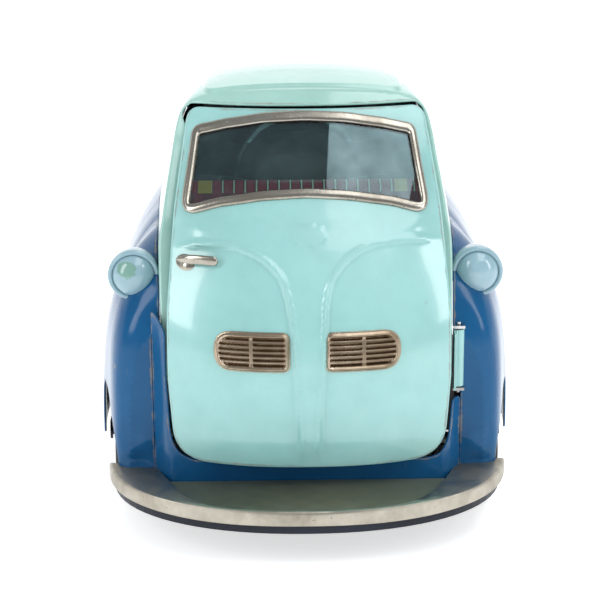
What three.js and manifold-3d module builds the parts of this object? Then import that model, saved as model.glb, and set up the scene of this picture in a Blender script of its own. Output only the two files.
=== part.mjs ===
// Friction-drive tin bubble car, about 1:14, built as pressed tin shells on a base plate.
//
// Millimetres, +Z up. The car faces -Y and stands on its tyres at z = 0. The pieces are laid out
// in station coordinates: x runs across the car (the car's own left is +x), y runs back from the
// bumper face (0) to the rear bumper (LENGTH), z is the height above the ground. The last lines
// move the finished car so that its origin is under the middle of the body.

import * as THREE from 'three';
import { mergeVertices } from 'three/addons/utils/BufferGeometryUtils.js';
import Module from 'manifold-3d';

const wasm = await Module();
wasm.setup();

// ------------------------------------------------------------------ driving dimensions

const LENGTH = 165;            // bumper face to rear bumper face
const TIN = 0.6;               // sheet thickness of the pressings
const GAP = 0.35;              // clearance between pieces that touch
const WHEEL_RADIUS = 13.2;
const FRONT_AXLE_Y = 40.5;
const REAR_AXLE_Y = 132;
const FRONT_TRACK = 76;
const REAR_TRACK = 37;
const TYRE_WIDTH = 8;
const AXLE_RADIUS = 1.5;
const BASE_BOTTOM = 8.3;
const BASE_TOP = 9.9;
const SKIRT_BOTTOM = 10.4;     // lower edge of the blue shell
const CABIN_FLOOR_Z = 22;
const ROOF_APEX = [62, 93.2];  // y, z of the highest point of the roof
const CABIN_TAIL = 155.6;      // y where the turquoise shell closes
const SKIRT_TAIL = 160.5;      // y where the blue shell closes
const CABIN_BASE = 30;         // height from which the cabin section is measured
const DOOR_CENTRE_X = 0.5;     // the door sits slightly towards its hinge
const DOOR_BOW = 7.5;          // how far the door's sides fall back from its middle
const DOOR_DEPTH = 2.2;        // depth of the door's turned-in edge
const DOOR_TOP = 88.9;         // height of the door's upper edge
const HEADER_SLOPE = 0.8;      // rise of the roof's front edge above the door, per mm back
const HINGE = [32.4, 24.9];    // x, y of the vertical door hinge
const HINGE_Z = [31.9, 44.6];  // lower and upper end of the hinge strap
const MODULE = 0.5;            // gear module of the friction motor

// Curves given by a few points: height against station, or half width against station.
const DOOR_PROFILE = [
  [12, 15.8], [17.5, 13.7], [25, 12], [34, 11.3], [44, 12.2], [54, 15.4],
  [63, 20.6], [71.5, 27.3], [80, 35.2], [88, 44.2], [92, 50.5],
];
const ROOF_FRONT = [[18, 91.2], [40, 91.4], [50, 91.9], [56, 92.7], [62, 93.2], [66, 93.25]];
const CABIN_HALF_WIDTH = [[18, 30.5], [24, 30.9], [35, 31.8], [46, 32.4], [60, 32.9], [76, 33.3]];
const SKIRT_HALF_WIDTH = [
  [24.5, 38.5], [25.5, 40.3], [27, 41.5], [30, 42.5], [36, 43.6], [48, 45.8], [60, 47.1], [72, 47.2],
];
const SKIRT_HEIGHT = [[24.5, 38], [25.5, 41], [27, 44], [30, 47.5], [36, 50.6], [48, 57], [60, 62], [75, 63]];

// Half of the cabin section at the side windows, as [height fraction, width fraction].
const CABIN_SECTION = [
  [0, 1], [0.25, 1], [0.47, 0.997], [0.549, 0.985], [0.596, 0.939], [0.65, 0.888], [0.721, 0.86],
  [0.784, 0.839], [0.862, 0.809], [0.925, 0.745], [0.967, 0.608], [0.991, 0.365], [1, 0],
];
// Width fractions of the squarer section behind the door, at the same height fractions.
const FRONT_SECTION = [1, 1, 0.997, 0.985, 0.965, 0.945, 0.918, 0.892, 0.864, 0.832, 0.755, 0.5, 0];
const SKIRT_LEVELS = [0, 0.16, 0.32, 0.46, 0.58, 0.68, 0.77, 0.85, 0.92, 0.97, 0.993, 1];

// ------------------------------------------------------------------ materials

const FINISH = {
  turquoise: [0x9bd0ce, 0.3, 0.1],
  blue: [0x286298, 0.3, 0.1],
  navy: [0x1b2a48, 0.45, 0.1],
  lampBlue: [0x9dc0cb, 0.3, 0.1],
  nickel: [0xb8ad9c, 0.25, 1],
  steel: [0x9a9c9f, 0.4, 1],
  brass: [0xb59a55, 0.4, 1],
  iron: [0x5d5f63, 0.6, 1],
  rubber: [0x202022, 0.85, 0],
  clear: [0x6f8f88, 0.1, 0],
  red: [0xb02a22, 0.25, 0],
  litho: [0xb83a44, 0.4, 0.05],
  green: [0x1f443f, 0.5, 0.05],
};

function finish(key) {
  const [color, roughness, metalness] = FINISH[key];
  return new THREE.MeshStandardMaterial({ color, roughness, metalness, name: key });
}

// ------------------------------------------------------------------ shape tools

/** A smooth function through points [[t, value], ...], held level outside their range. */
function curveThrough(points) {
  const slope = points.map((_, i) => {
    const a = points[Math.max(i - 1, 0)];
    const b = points[Math.min(i + 1, points.length - 1)];
    return (b[1] - a[1]) / (b[0] - a[0]);
  });
  return (t) => {
    const last = points.length - 1;
    if (t <= points[0][0]) return points[0][1];
    if (t >= points[last][0]) return points[last][1];
    const i = points.findIndex((p, k) => k < last && t < points[k + 1][0]);
    const [t0, v0] = points[i];
    const [t1, v1] = points[i + 1];
    const h = t1 - t0;
    const s = (t - t0) / h;
    const blend = s * s * (3 - 2 * s);
    const pull = s * (1 - s) * h;
    return v0 + (v1 - v0) * blend + pull * ((1 - s) * slope[i] - s * slope[i + 1]);
  };
}

const smoothstep = (a, b, t) => THREE.MathUtils.smoothstep(t, a, b);

/** Turns a closed geometry into a manifold solid, facing outwards. */
function solid(geometry) {
  const bare = geometry.clone();
  bare.deleteAttribute('normal');
  bare.deleteAttribute('uv');
  const merged = mergeVertices(bare, 1e-4);
  const position = merged.getAttribute('position');
  const vertProperties = new Float32Array(position.array);
  const index = merged.getIndex().array;
  const triangles = [];
  let volume = 0;
  const [a, b, c] = [new THREE.Vector3(), new THREE.Vector3(), new THREE.Vector3()];
  for (let i = 0; i < index.length; i += 3) {
    const [p, q, r] = [index[i], index[i + 1], index[i + 2]];
    if (p === q || q === r || r === p) continue;
    triangles.push(p, q, r);
    a.fromBufferAttribute(position, p);
    b.fromBufferAttribute(position, q);
    c.fromBufferAttribute(position, r);
    volume += a.dot(b.cross(c));
  }
  const triVerts = new Uint32Array(volume > 0 ? triangles : triangles.reverse());
  return new wasm.Manifold(new wasm.Mesh({ numProp: 3, vertProperties, triVerts }));
}

/** A solid between two equal grids of points; both are arrays of rows of [x, y, z]. */
function gridSolid(front, back) {
  const rows = front.length;
  const cols = front[0].length;
  const positions = [...front.flat(2), ...back.flat(2)];
  const at = (side, i, j) => side * rows * cols + i * cols + j;
  const index = [];
  const quad = (p, q, r, s) => index.push(p, q, r, p, r, s);
  for (let i = 0; i < rows - 1; i += 1) {
    for (let j = 0; j < cols - 1; j += 1) {
      quad(at(0, i, j), at(0, i, j + 1), at(0, i + 1, j + 1), at(0, i + 1, j));
      quad(at(1, i, j), at(1, i + 1, j), at(1, i + 1, j + 1), at(1, i, j + 1));
    }
  }
  for (let j = 0; j < cols - 1; j += 1) {
    quad(at(0, 0, j), at(1, 0, j), at(1, 0, j + 1), at(0, 0, j + 1));
    quad(at(0, rows - 1, j), at(0, rows - 1, j + 1), at(1, rows - 1, j + 1), at(1, rows - 1, j));
  }
  for (let i = 0; i < rows - 1; i += 1) {
    quad(at(0, i, 0), at(0, i + 1, 0), at(1, i + 1, 0), at(1, i, 0));
    quad(at(0, i, cols - 1), at(1, i, cols - 1), at(1, i + 1, cols - 1), at(0, i + 1, cols - 1));
  }
  return solid(bufferOf(positions, index));
}

/** A solid through closed rings of points, capped flat at both ends. */
function loft(rings) {
  const count = rings[0].length;
  const positions = rings.flat(2);
  const index = [];
  for (let i = 0; i < rings.length - 1; i += 1) {
    for (let j = 0; j < count; j += 1) {
      const [p, q] = [i * count + j, i * count + ((j + 1) % count)];
      index.push(p, q, q + count, p, q + count, p + count);
    }
  }
  for (const end of [0, rings.length - 1]) {
    const centre = positions.length / 3;
    const sum = rings[end].reduce((s, p) => s.map((v, k) => v + p[k] / count), [0, 0, 0]);
    positions.push(...sum);
    for (let j = 0; j < count; j += 1) {
      const [p, q] = [end * count + j, end * count + ((j + 1) % count)];
      index.push(...(end === 0 ? [centre, q, p] : [centre, p, q]));
    }
  }
  return solid(bufferOf(positions, index));
}

function bufferOf(positions, index) {
  const geometry = new THREE.BufferGeometry();
  geometry.setAttribute('position', new THREE.Float32BufferAttribute(positions, 3));
  geometry.setIndex(index);
  return geometry;
}

/** Samples numbers evenly from a to b, both included. */
const steps = (a, b, n) => Array.from({ length: n + 1 }, (_, i) => a + ((b - a) * i) / n);

/** A polygon whose corners [u, v, radius] are rounded. */
function rounded(corners) {
  const outline = [];
  corners.forEach(([u, v, radius = 0], i) => {
    const here = new THREE.Vector2(u, v);
    const before = corners[(i + corners.length - 1) % corners.length];
    const after = corners[(i + 1) % corners.length];
    const back = new THREE.Vector2(before[0], before[1]).sub(here).normalize();
    const on = new THREE.Vector2(after[0], after[1]).sub(here).normalize();
    const turn = Math.PI - Math.acos(THREE.MathUtils.clamp(back.dot(on), -1, 1));
    if (radius === 0 || turn < 0.02) {
      outline.push([u, v]);
      return;
    }
    const room = 0.49 * Math.min(
      Math.hypot(before[0] - u, before[1] - v),
      Math.hypot(after[0] - u, after[1] - v),
    );
    const reach = Math.min(radius * Math.tan(turn / 2), room);
    const start = here.clone().addScaledVector(back, reach);
    const end = here.clone().addScaledVector(on, reach);
    const count = Math.max(1, Math.round(turn / 0.35));
    for (const t of steps(0, 1, count)) {
      const w = [(1 - t) ** 2, 2 * t * (1 - t), t ** 2];
      outline.push([
        start.x * w[0] + u * w[1] + end.x * w[2],
        start.y * w[0] + v * w[1] + end.y * w[2],
      ]);
    }
  });
  const apart = ([a, b], [c, d]) => Math.hypot(a - c, b - d) > 0.02;
  return outline.filter((p, i) => apart(p, outline[(i + 1) % outline.length]));
}

/** Moves each point of a counter-clockwise outline outwards by d (inwards when negative). */
function grown(outline, d) {
  const n = outline.length;
  return outline.map((p, i) => {
    const a = new THREE.Vector2(...outline[(i + n - 1) % n]);
    const b = new THREE.Vector2(...outline[(i + 1) % n]);
    const along = b.sub(a).normalize();
    return [p[0] + along.y * d, p[1] - along.x * d];
  });
}

/** The same outline mirrored across u = 0, kept counter-clockwise. */
const mirrored = (outline) => outline.map(([u, v]) => [-u, v]).reverse();

const circle = (u, v, r, n = 24) => steps(0, 2 * Math.PI, n).slice(0, n)
  .map((a) => [u + r * Math.cos(a), v + r * Math.sin(a)]);

const rectangle = (u0, v0, u1, v1) => [[u0, v0], [u1, v0], [u1, v1], [u0, v1]];

const AXIS_FRAMES = {
  x: new THREE.Matrix4().set(0, 0, 1, 0, 1, 0, 0, 0, 0, 1, 0, 0, 0, 0, 0, 1),
  y: new THREE.Matrix4().set(1, 0, 0, 0, 0, 0, -1, 0, 0, 1, 0, 0, 0, 0, 0, 1),
  z: new THREE.Matrix4(),
};

/** An outline pushed along an axis from one height to another. Outlines are (y, z), (x, z) or (x, y). */
function prism(axis, outline, from, to) {
  const shape = new THREE.Shape(outline.map(([u, v]) => new THREE.Vector2(u, v)));
  const geometry = new THREE.ExtrudeGeometry(shape, { depth: to - from, bevelEnabled: false });
  geometry.applyMatrix4(AXIS_FRAMES[axis]);
  const move = { x: [from, 0, 0], y: [0, to, 0], z: [0, 0, from] }[axis];
  geometry.translate(...move);
  return solid(geometry);
}

const block = (x0, y0, z0, x1, y1, z1) => prism('z', rectangle(x0, y0, x1, y1), z0, z1);

/** A turned piece: profile points are [radius, distance along the axis]. */
function turned(axis, profile, centre, segments = 24) {
  const points = profile.map(([r, t]) => new THREE.Vector2(r, t));
  const geometry = new THREE.LatheGeometry(points, segments);
  if (axis === 'x') geometry.rotateZ(-Math.PI / 2);
  if (axis === 'z') geometry.rotateX(Math.PI / 2);
  geometry.translate(...centre);
  return solid(geometry);
}

/** A turned tube or, with bore 0, a turned bar. */
function bar(axis, radius, bore, from, to, centre, segments = 20) {
  const wall = [[bore, from], [radius, from], [radius, to], [bore, to]];
  if (bore > 0) wall.push([bore, from]);
  return turned(axis, wall, centre, segments);
}

const joined = (...solids) => solids.reduce((all, s) => all.add(s));
const without = (base, ...solids) => solids.reduce((all, s) => all.subtract(s), base);

const parts = [];

/** Names a solid and gives it its finish. */
function part(name, shape, key) {
  const mesh = shape.getMesh();
  const geometry = bufferOf(Array.from(mesh.vertProperties), Array.from(mesh.triVerts));
  geometry.computeVertexNormals();
  const piece = new THREE.Mesh(geometry, finish(key));
  piece.name = name;
  parts.push(piece);
  return piece;
}

// ------------------------------------------------------------------ body surfaces

const doorProfile = curveThrough(DOOR_PROFILE);
const roofFront = curveThrough(ROOF_FRONT);
const cabinFront = curveThrough(CABIN_HALF_WIDTH);
const skirtFront = curveThrough(SKIRT_HALF_WIDTH);
const skirtRise = curveThrough(SKIRT_HEIGHT);
const tailing = (t, power) => Math.max(0, 1 - Math.max(0, t) ** power) ** (1 / power);

/** Station of the door skin's outer face at (x, z). */
const doorY = (x, z) => doorProfile(z) + DOOR_BOW * (Math.abs(x - DOOR_CENTRE_X) / 30) ** 2.4;

function roofHeight(y) {
  const [apexY, apexZ] = ROOF_APEX;
  if (y < apexY) return roofFront(y);
  return CABIN_BASE + (apexZ - CABIN_BASE) * tailing((y - apexY) / (CABIN_TAIL - apexY), 1.8);
}

function cabinHalfWidth(y) {
  const widest = CABIN_HALF_WIDTH.at(-1);
  return y < widest[0] ? cabinFront(y) : widest[1] * tailing((y - widest[0]) / (CABIN_TAIL - widest[0]), 2.6);
}

function skirtHalfWidth(y) {
  const widest = SKIRT_HALF_WIDTH.at(-1);
  return y < widest[0] ? skirtFront(y) : widest[1] * tailing((y - widest[0]) / (SKIRT_TAIL - widest[0]), 2.4);
}

function skirtHeight(y) {
  const tallest = SKIRT_HEIGHT.at(-1);
  return y < tallest[0] ? skirtRise(y) : tallest[1] * tailing((y - tallest[0]) / (SKIRT_TAIL - tallest[0]), 3);
}

/** The solid egg of the cabin, its surface moved outwards by d, standing on height base. */
function cabinSolid(d, base) {
  const along = [18, 25, 32, 39, 45, 48, 51, 57, 65, 74, 84, 94, 103, 112, 120, 128, 135, 141, 146, 150, 153];
  const stations = [...along, CABIN_TAIL - 0.7];
  const rings = stations.map((y) => {
    const w = cabinHalfWidth(y) + d;
    const rise = roofHeight(y) + d - CABIN_BASE;
    const egg = smoothstep(72, 112, y);
    const square = 1 - smoothstep(44, 68, y);
    const half = CABIN_SECTION.map(([v, u], i) => {
      const round = (1 - v ** 2.4) ** (1 / 2.4);
      const share = THREE.MathUtils.lerp(u, round, egg) + (FRONT_SECTION[i] - u) * square;
      return [w * share, CABIN_BASE + rise * v];
    });
    const left = half.map(([x, z]) => [x, y + (y > CABIN_TAIL - 1 ? d : 0), z]);
    const right = left.slice(0, -1).reverse().map(([x, yy, z]) => [-x, yy, z]);
    const [footX, footY] = left[0];
    return [[footX, footY, base], ...left, ...right, [-footX, footY, base]];
  });
  return loft(rings);
}

/** The space above the header, the roof's sloping front edge, its surface moved outwards by d. */
function aboveHeader(d) {
  const foot = DOOR_TOP + GAP + TIN + d;
  const height = (x, y) => foot + HEADER_SLOPE * (y - doorY(x, DOOR_TOP) - 0.1);
  const across = steps(-40, 40, 24);
  const along = steps(30, 62, 8);
  const low = along.map((y) => across.map((x) => [x, y, height(x, y)]));
  const high = along.map((y) => across.map((x) => [x, y, 120]));
  return gridSolid(low, high);
}

/** The solid of the blue lower body, its surface moved outwards by d, standing on height base. */
function skirtSolid(d, base) {
  const along = [24.5, 25.5, 27, 30, 36, 42, 48, 56, 66, 78, 90, 101, 111, 120, 128, 135, 141, 147, 152, 156, 158.8];
  const stations = [...along, SKIRT_TAIL - 0.6];
  const last = stations.length - 1;
  const rings = stations.map((y, i) => {
    const w = skirtHalfWidth(y) + d;
    const h = skirtHeight(y) + d;
    const power = THREE.MathUtils.lerp(5, 2.5, smoothstep(30, 60, y));
    const shift = (i === 0 ? -d : 0) + (i === last ? d : 0);
    const half = SKIRT_LEVELS.map((v) => [w * (1 - v ** power) ** (1 / power), y + shift, SKIRT_BOTTOM + h * v]);
    const right = half.slice(0, -1).reverse().map(([x, yy, z]) => [-x, yy, z]);
    const [footX, footY] = half[0];
    return [[footX, footY, base], ...half, ...right, [-footX, footY, base]];
  });
  return loft(rings);
}

// ------------------------------------------------------------------ outlines

const DOOR_OUTLINE = rounded([
  [-28.6, 17.5, 8], [29.6, 17.5, 8], [30.8, 36, 40], [30.8, 50, 60], [29.2, 70, 60], [26.4, 88.7, 3.4],
  [14, 88.9, 30], [-13, 88.9, 30], [-25.4, 88.7, 3.4], [-28.2, 70, 60], [-29.8, 50, 60], [-29.8, 36, 40],
]);
const WINDSHIELD_OUTER = rounded([
  [-26.7, 68.2, 2.8], [-18, 70.8, 20], [-9, 72.2, 40], [0, 72.7, 40], [9, 72.2, 40], [18, 70.8, 20],
  [26.7, 68.2, 2.8], [25, 78, 40], [24, 84.8, 2.6], [17, 86.4, 20], [9, 87.6, 30], [0, 88, 40],
  [-9, 87.6, 30], [-17, 86.4, 20], [-24, 84.8, 2.6], [-25, 78, 40],
]);
const GRILLE_OUTLINE = rounded([[3.7, 40, 1.6], [19.4, 40, 3.9], [19.4, 48, 3.9], [3.7, 48, 1.6]]);
const SIDE_WINDOW = rounded([[52, 69.5, 3], [98, 69.5, 3], [90, 80.5, 7], [58, 84, 5]]);
const REAR_WINDOW = rounded([[-19, 61, 5], [19, 61, 5], [16, 77.5, 7], [-16, 77.5, 7]]);

/** A curved sheet that follows the door skin, cut to an (x, z) outline, between two depths. */
function doorSheet(outline, depth, thickness, columns = 10, rows = 14) {
  const xs = outline.map((p) => p[0]);
  const zs = outline.map((p) => p[1]);
  const across = steps(Math.min(...xs) - 0.5, Math.max(...xs) + 0.5, columns);
  const up = steps(Math.min(...zs) - 0.5, Math.max(...zs) + 0.5, rows);
  const sheet = (shift) => up.map((z) => across.map((x) => [x, doorY(x, z) + shift, z]));
  const slab = gridSolid(sheet(depth), sheet(depth + thickness));
  return slab.intersect(prism('y', outline, -20, 90));
}

// ------------------------------------------------------------------ body shells

function upperBodyShell() {
  const cabin = (d, base) => cabinSolid(d, base).subtract(aboveHeader(d));
  const shell = without(cabin(0, CABIN_BASE), cabin(-TIN, CABIN_BASE - 5));
  const panelOutline = rounded([[-22, 50.8, 4], [22, 50.8, 4], [21, 98, 6], [-21, 98, 6]]);
  const roofPanel = without(cabin(0.7, CABIN_BASE), cabin(-0.2, CABIN_BASE - 5))
    .intersect(prism('z', panelOutline, 60, 110));
  const heights = steps(10, DOOR_TOP + 0.3, 14);
  const across = steps(-46, 46, 20);
  const aheadOfDoor = heights.map((z) => across.map((x) => [x, -20, z]));
  const behindDoor = heights.map((z) => across.map((x) => [x, doorY(x, z) + DOOR_DEPTH + 0.6, z]));
  const upwards = [80, 110];
  const aheadOfHeader = upwards.map((z) => across.map((x) => [x, -20, z]));
  const header = upwards.map((z) => across.map((x) => [x, doorY(x, DOOR_TOP) + 0.1, z]));
  const skirtLine = [
    [10, 0], [170, 0], [170, 44], [150, 46], [140, 50], [125, 54], [100, 55], [80, 53], [62, 46], [36, 40], [10, 30],
  ];
  return without(
    joined(shell, roofPanel),
    gridSolid(aheadOfDoor, behindDoor),
    gridSolid(aheadOfHeader, header),
    prism('x', skirtLine, -60, 60),
    prism('x', SIDE_WINDOW, -60, 60),
    prism('y', REAR_WINDOW, 98, 170),
  );
}

function lowerBodyShell() {
  const shell = without(skirtSolid(0, SKIRT_BOTTOM), skirtSolid(-TIN, 5), cabinSolid(0.9, 17.5));
  const arch = (y, r) => prism('x', circle(y, WHEEL_RADIUS, r, 28), -60, 60);
  const legs = (y, r) => block(-60, y - r, 0, 60, y + r, WHEEL_RADIUS);
  const frontArch = joined(arch(FRONT_AXLE_Y, 14.2), legs(FRONT_AXLE_Y, 14.2)).subtract(block(-30, 0, 0, 30, 90, 40));
  const rearArch = joined(arch(REAR_AXLE_Y, 14.2), legs(REAR_AXLE_Y, 14.2));
  const ends = [[-33.4, 24.9], [-31.7, 24.9], [-29.6, 19.9], [29.6, 19.9], [31.7, 24.9], [33.4, 24.9]];
  const fronts = [[33.4, 24.5], [32.1, 24.5], [30, 19.3], [-30, 19.3], [-32.1, 24.5], [-33.4, 24.5]];
  const valance = prism('z', [...fronts, ...ends], SKIRT_BOTTOM, 17.1);
  const hingeSlot = block(29, 20, HINGE_Z[0] - 1.9, HINGE[0] + 1.7, 27, HINGE_Z[1] + 1.9);
  return without(joined(shell, valance), frontArch, rearArch, hingeSlot);
}

function basePlate() {
  const rim = bumperCurve(1.1, 26);
  const sides = steps(30, 157, 12).map((y) => [skirtHalfWidth(y) - 1.2, y]);
  const outline = [...rim, ...sides, ...mirrored(sides)];
  const plate = without(
    prism('z', outline, BASE_BOTTOM, BASE_TOP),
    prism('z', grown(outline, -TIN), BASE_BOTTOM - 1, BASE_TOP - TIN),
  );
  const side = (s) => {
    const inner = REAR_TRACK / 2 - TYRE_WIDTH / 2 - 1;
    const outer = REAR_TRACK / 2 + TYRE_WIDTH / 2 + 1;
    return joined(
      block(Math.min(s * 32, s * 60), FRONT_AXLE_Y - 14.6, 0, Math.max(s * 32, s * 60), FRONT_AXLE_Y + 14.6, 20),
      block(Math.min(s * inner, s * outer), REAR_AXLE_Y - 14.4, 0, Math.max(s * inner, s * outer), REAR_AXLE_Y + 14.4, 20),
    );
  };
  const motorWindow = block(-9.2, 103.5, 0, 9.2, 144, 20);
  return without(plate, side(1), side(-1), motorWindow);
}

// ------------------------------------------------------------------ bumpers and lamps

/** The bumper's front curve in plan, a superellipse from the right end to the left, set in by d. */
function bumperCurve(d, endY) {
  const halfWidth = 43.4 - d;
  const depth = 31 - d;
  const power = 2.15;
  const span = Math.acos((1 - (endY - d) / depth) ** (power / 2));
  return steps(-1, 1, 36).map((t) => {
    const across = Math.abs(Math.sin(span * t)) ** (2 / power);
    const back = 1 - Math.cos(span * t) ** (2 / power);
    return [Math.sign(t) * halfWidth * across, d + depth * back];
  });
}

function frontBumper() {
  const front = bumperCurve(0, 28);
  const inner = [[42.5, 28], [42, 26.6], [41, 25], [38.8, 24.1], [32.6, 24.1], [30.3, 18.9]];
  const outline = [...front, ...inner, ...mirrored(inner)];
  const tray = bumperCurve(1.6, 24).map(([x, y]) => [x * 0.78, y]);
  const trayOutline = [...tray, [31, 24.6], [29.2, 19.6], [-29.2, 19.6], [-31, 24.6]];
  return without(
    prism('z', outline, 10.3, 13.6),
    prism('z', grown(bumperCurve(0.7, 23.4), -0.1), 9, 12),
    prism('z', trayOutline, 12.7, 15),
  );
}

function rearBumper() {
  const arc = (r, n) => steps(-0.62, 0.62, n).map((a) => [r * Math.sin(a), LENGTH - 54 + r * Math.cos(a)]);
  const band = prism('z', [...arc(54, 16).reverse(), ...arc(53.1, 16)], 13, 19);
  const stay = (x) => block(x - 2, 140, 14.5, x + 2, LENGTH - 3.6, 17.5).subtract(skirtSolid(GAP, 5));
  return joined(band, stay(-17), stay(17));
}

/** A bullet lamp: shell and domed lens, both turned about the car's long axis. */
function headlamp(x, side) {
  const centre = [x, 33, 55.4];
  const shell = turned('y', [
    [0, 9.5], [2.2, 8.6], [4.1, 5.6], [5.2, 1.6], [5.5, -0.8], [5.5, -1.6], [4.9, -1.6], [4.7, 1.4],
    [3.6, 5], [1.8, 7.6], [0, 8.4],
  ], centre);
  const stalk = block(Math.min(x, x - side * 6), 33.2, 50.8, Math.max(x, x - side * 6), 37.2, 53.4);
  const bowl = turned('y', [[0, 9], [2, 8.1], [3.9, 5.3], [4.95, 1.5], [5, -3], [0, -3]], centre);
  part(`headlamp_shell_${side > 0 ? 'left' : 'right'}`, without(
    joined(shell, stalk.subtract(bowl)), skirtSolid(GAP, 5), cabinSolid(GAP, 20),
  ), 'lampBlue');
  part(`headlamp_lens_${side > 0 ? 'left' : 'right'}`, turned('y', [
    [0, -5.3], [2.1, -4.9], [3.7, -3.8], [4.5, -2.4], [4.55, -1.2], [4.1, -0.9], [0, -0.9],
  ], centre).subtract(skirtSolid(GAP, 5)), 'lampBlue');
}

function tailLamp(side) {
  const lamp = turned('y', [[0, 6], [2.2, 5.6], [3, 4.2], [3, -6], [0, -6]], [side * 23, 147.4, 38], 20);
  part(`tail_lamp_${side > 0 ? 'left' : 'right'}`, lamp.subtract(skirtSolid(GAP, 5)), 'red');
}

// ------------------------------------------------------------------ door

function doorPanel() {
  const pan = without(
    doorSheet(DOOR_OUTLINE, 0, DOOR_DEPTH, 12, 15),
    doorSheet(grown(DOOR_OUTLINE, -TIN), TIN, DOOR_DEPTH + 1, 12, 15),
  );
  return without(
    pan,
    prism('y', grown(WINDSHIELD_OUTER, -0.4), -20, 90),
    prism('y', grown(GRILLE_OUTLINE, GAP), -20, 90),
    prism('y', grown(mirrored(GRILLE_OUTLINE), GAP), -20, 90),
  );
}

function windshieldFrame() {
  return doorSheet(grown(WINDSHIELD_OUTER, 0.6), -GAP - TIN, TIN, 10, 6).subtract(
    prism('y', grown(WINDSHIELD_OUTER, -1.1), -20, 90),
  );
}

/** A pressed vent: a rim around five slats that are split by a bar. */
function ventGrille(outline, side) {
  const plate = doorSheet(outline, -0.4, 1.2, 6, 3);
  const slots = [];
  for (const row of [0, 1, 2, 3, 4, 5]) {
    const z = 41.05 + row * 1.08;
    const reach = row === 0 || row === 5 ? 17 : 18.1;
    for (const [from, to] of [[4.9, 10.9], [11.9, reach]]) {
      const [a, b] = [side * from, side * to];
      slots.push(block(Math.min(a, b), 0, z, Math.max(a, b), 30, z + 0.55));
    }
  }
  return without(plate, ...slots);
}

function doorHandle() {
  const grip = rounded([[-27.2, 60.2, 0.9], [-19.2, 60, 1.4], [-18.4, 62.6, 1.4], [-27.2, 62, 0.9]]);
  const lever = doorSheet(grip, -2.2, 1, 6, 2);
  const foot = (x) => doorSheet(circle(x, 61.2, 0.8, 12), -1.4, 1.4 - GAP, 2, 2);
  return joined(lever, foot(-20.4), foot(-25.8));
}

function doorHingeLeaf() {
  const [hx, hy] = HINGE;
  const leaf = prism('z', [
    [hx - 1.15, hy - 3.6], [hx - 0.65, hy - 3.6], [hx - 0.6, hy - 1.7], [hx, hy - 0.9],
    [hx, hy], [hx - 0.9, hy - 0.6], [hx - 1.15, hy - 1.5],
  ], HINGE_Z[0], HINGE_Z[1]);
  const knuckle = bar('z', 1.25, 0.8, HINGE_Z[0], HINGE_Z[1], [hx, hy, 0]);
  return without(joined(leaf, knuckle), bar('z', 0.8, 0, 20, 60, [hx, hy, 0]));
}

function buildDoor() {
  const clearOfDoor = doorSheet(grown(DOOR_OUTLINE, GAP), -GAP, DOOR_DEPTH + 2 * GAP, 12, 18);
  part('door_panel', doorPanel(), 'turquoise');
  part('windshield_frame', windshieldFrame(), 'nickel');
  part('windshield', doorSheet(grown(WINDSHIELD_OUTER, -0.75), 0, 0.5, 10, 6), 'clear');
  part('vent_grille_left', ventGrille(GRILLE_OUTLINE, 1), 'nickel');
  part('vent_grille_right', ventGrille(mirrored(GRILLE_OUTLINE), -1), 'nickel');
  part('door_handle', doorHandle(), 'nickel');
  part('door_hinge_leaf', doorHingeLeaf().subtract(clearOfDoor), 'turquoise');
  const latch = block(-28.9, 21, 44, -28.2, 26.5, 48);
  part('door_latch_tab', latch.subtract(clearOfDoor), 'steel');
}

// ------------------------------------------------------------------ hinge and glazing of the body

function buildBodyFittings() {
  const [hx, hy] = HINGE;
  part('hinge_pin', bar('z', 0.5, 0, HINGE_Z[0] - 1.6, HINGE_Z[1] + 1.6, [hx, hy, 0], 16), 'steel');
  const ear = (z) => block(hx - 1.3, hy - 1.2, z, hx + 1.3, 28.6, z + 0.6);
  const web = block(hx - 1.3, 28, HINGE_Z[0] - 0.95, hx + 1.3, 28.6, HINGE_Z[1] + 0.95);
  part('hinge_bracket', without(
    joined(ear(HINGE_Z[0] - 0.95), ear(HINGE_Z[1] + 0.35), web),
    bar('z', 0.8, 0, 20, 60, [hx, hy, 0]),
    cabinSolid(GAP, CABIN_BASE - 5),
  ), 'steel');

  const pane = without(cabinSolid(-TIN - GAP, CABIN_BASE), cabinSolid(-TIN - GAP - 0.4, CABIN_BASE - 5));
  const sidePane = pane.intersect(prism('x', grown(SIDE_WINDOW, 1.4), -60, 60));
  part('side_window_left', sidePane.intersect(block(0, 0, 0, 60, 170, 120)), 'clear');
  part('side_window_right', sidePane.intersect(block(-60, 0, 0, 0, 170, 120)), 'clear');
  part('rear_window', pane.intersect(prism('y', grown(REAR_WINDOW, 1.4), 98, 170)), 'clear');

  const seat = [
    [57, CABIN_FLOOR_Z + 1], [57, 40], [80, 38], [83, 61.5], [87, 62], [87, 61.4], [83.6, 61],
    [80.5, 37.3], [57.6, 39.3], [57.6, CABIN_FLOOR_Z + 1],
  ];
  part('cabin_seat', prism('x', seat, -28, 28), 'litho');
  const floor = rounded([[-30.5, 26.5, 2], [30.5, 26.5, 2], [30.5, 98, 6], [-30.5, 98, 6]]);
  part('cabin_floor', prism('z', floor, CABIN_FLOOR_Z, CABIN_FLOOR_Z + TIN), 'green');
}

// ------------------------------------------------------------------ wheels

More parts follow.
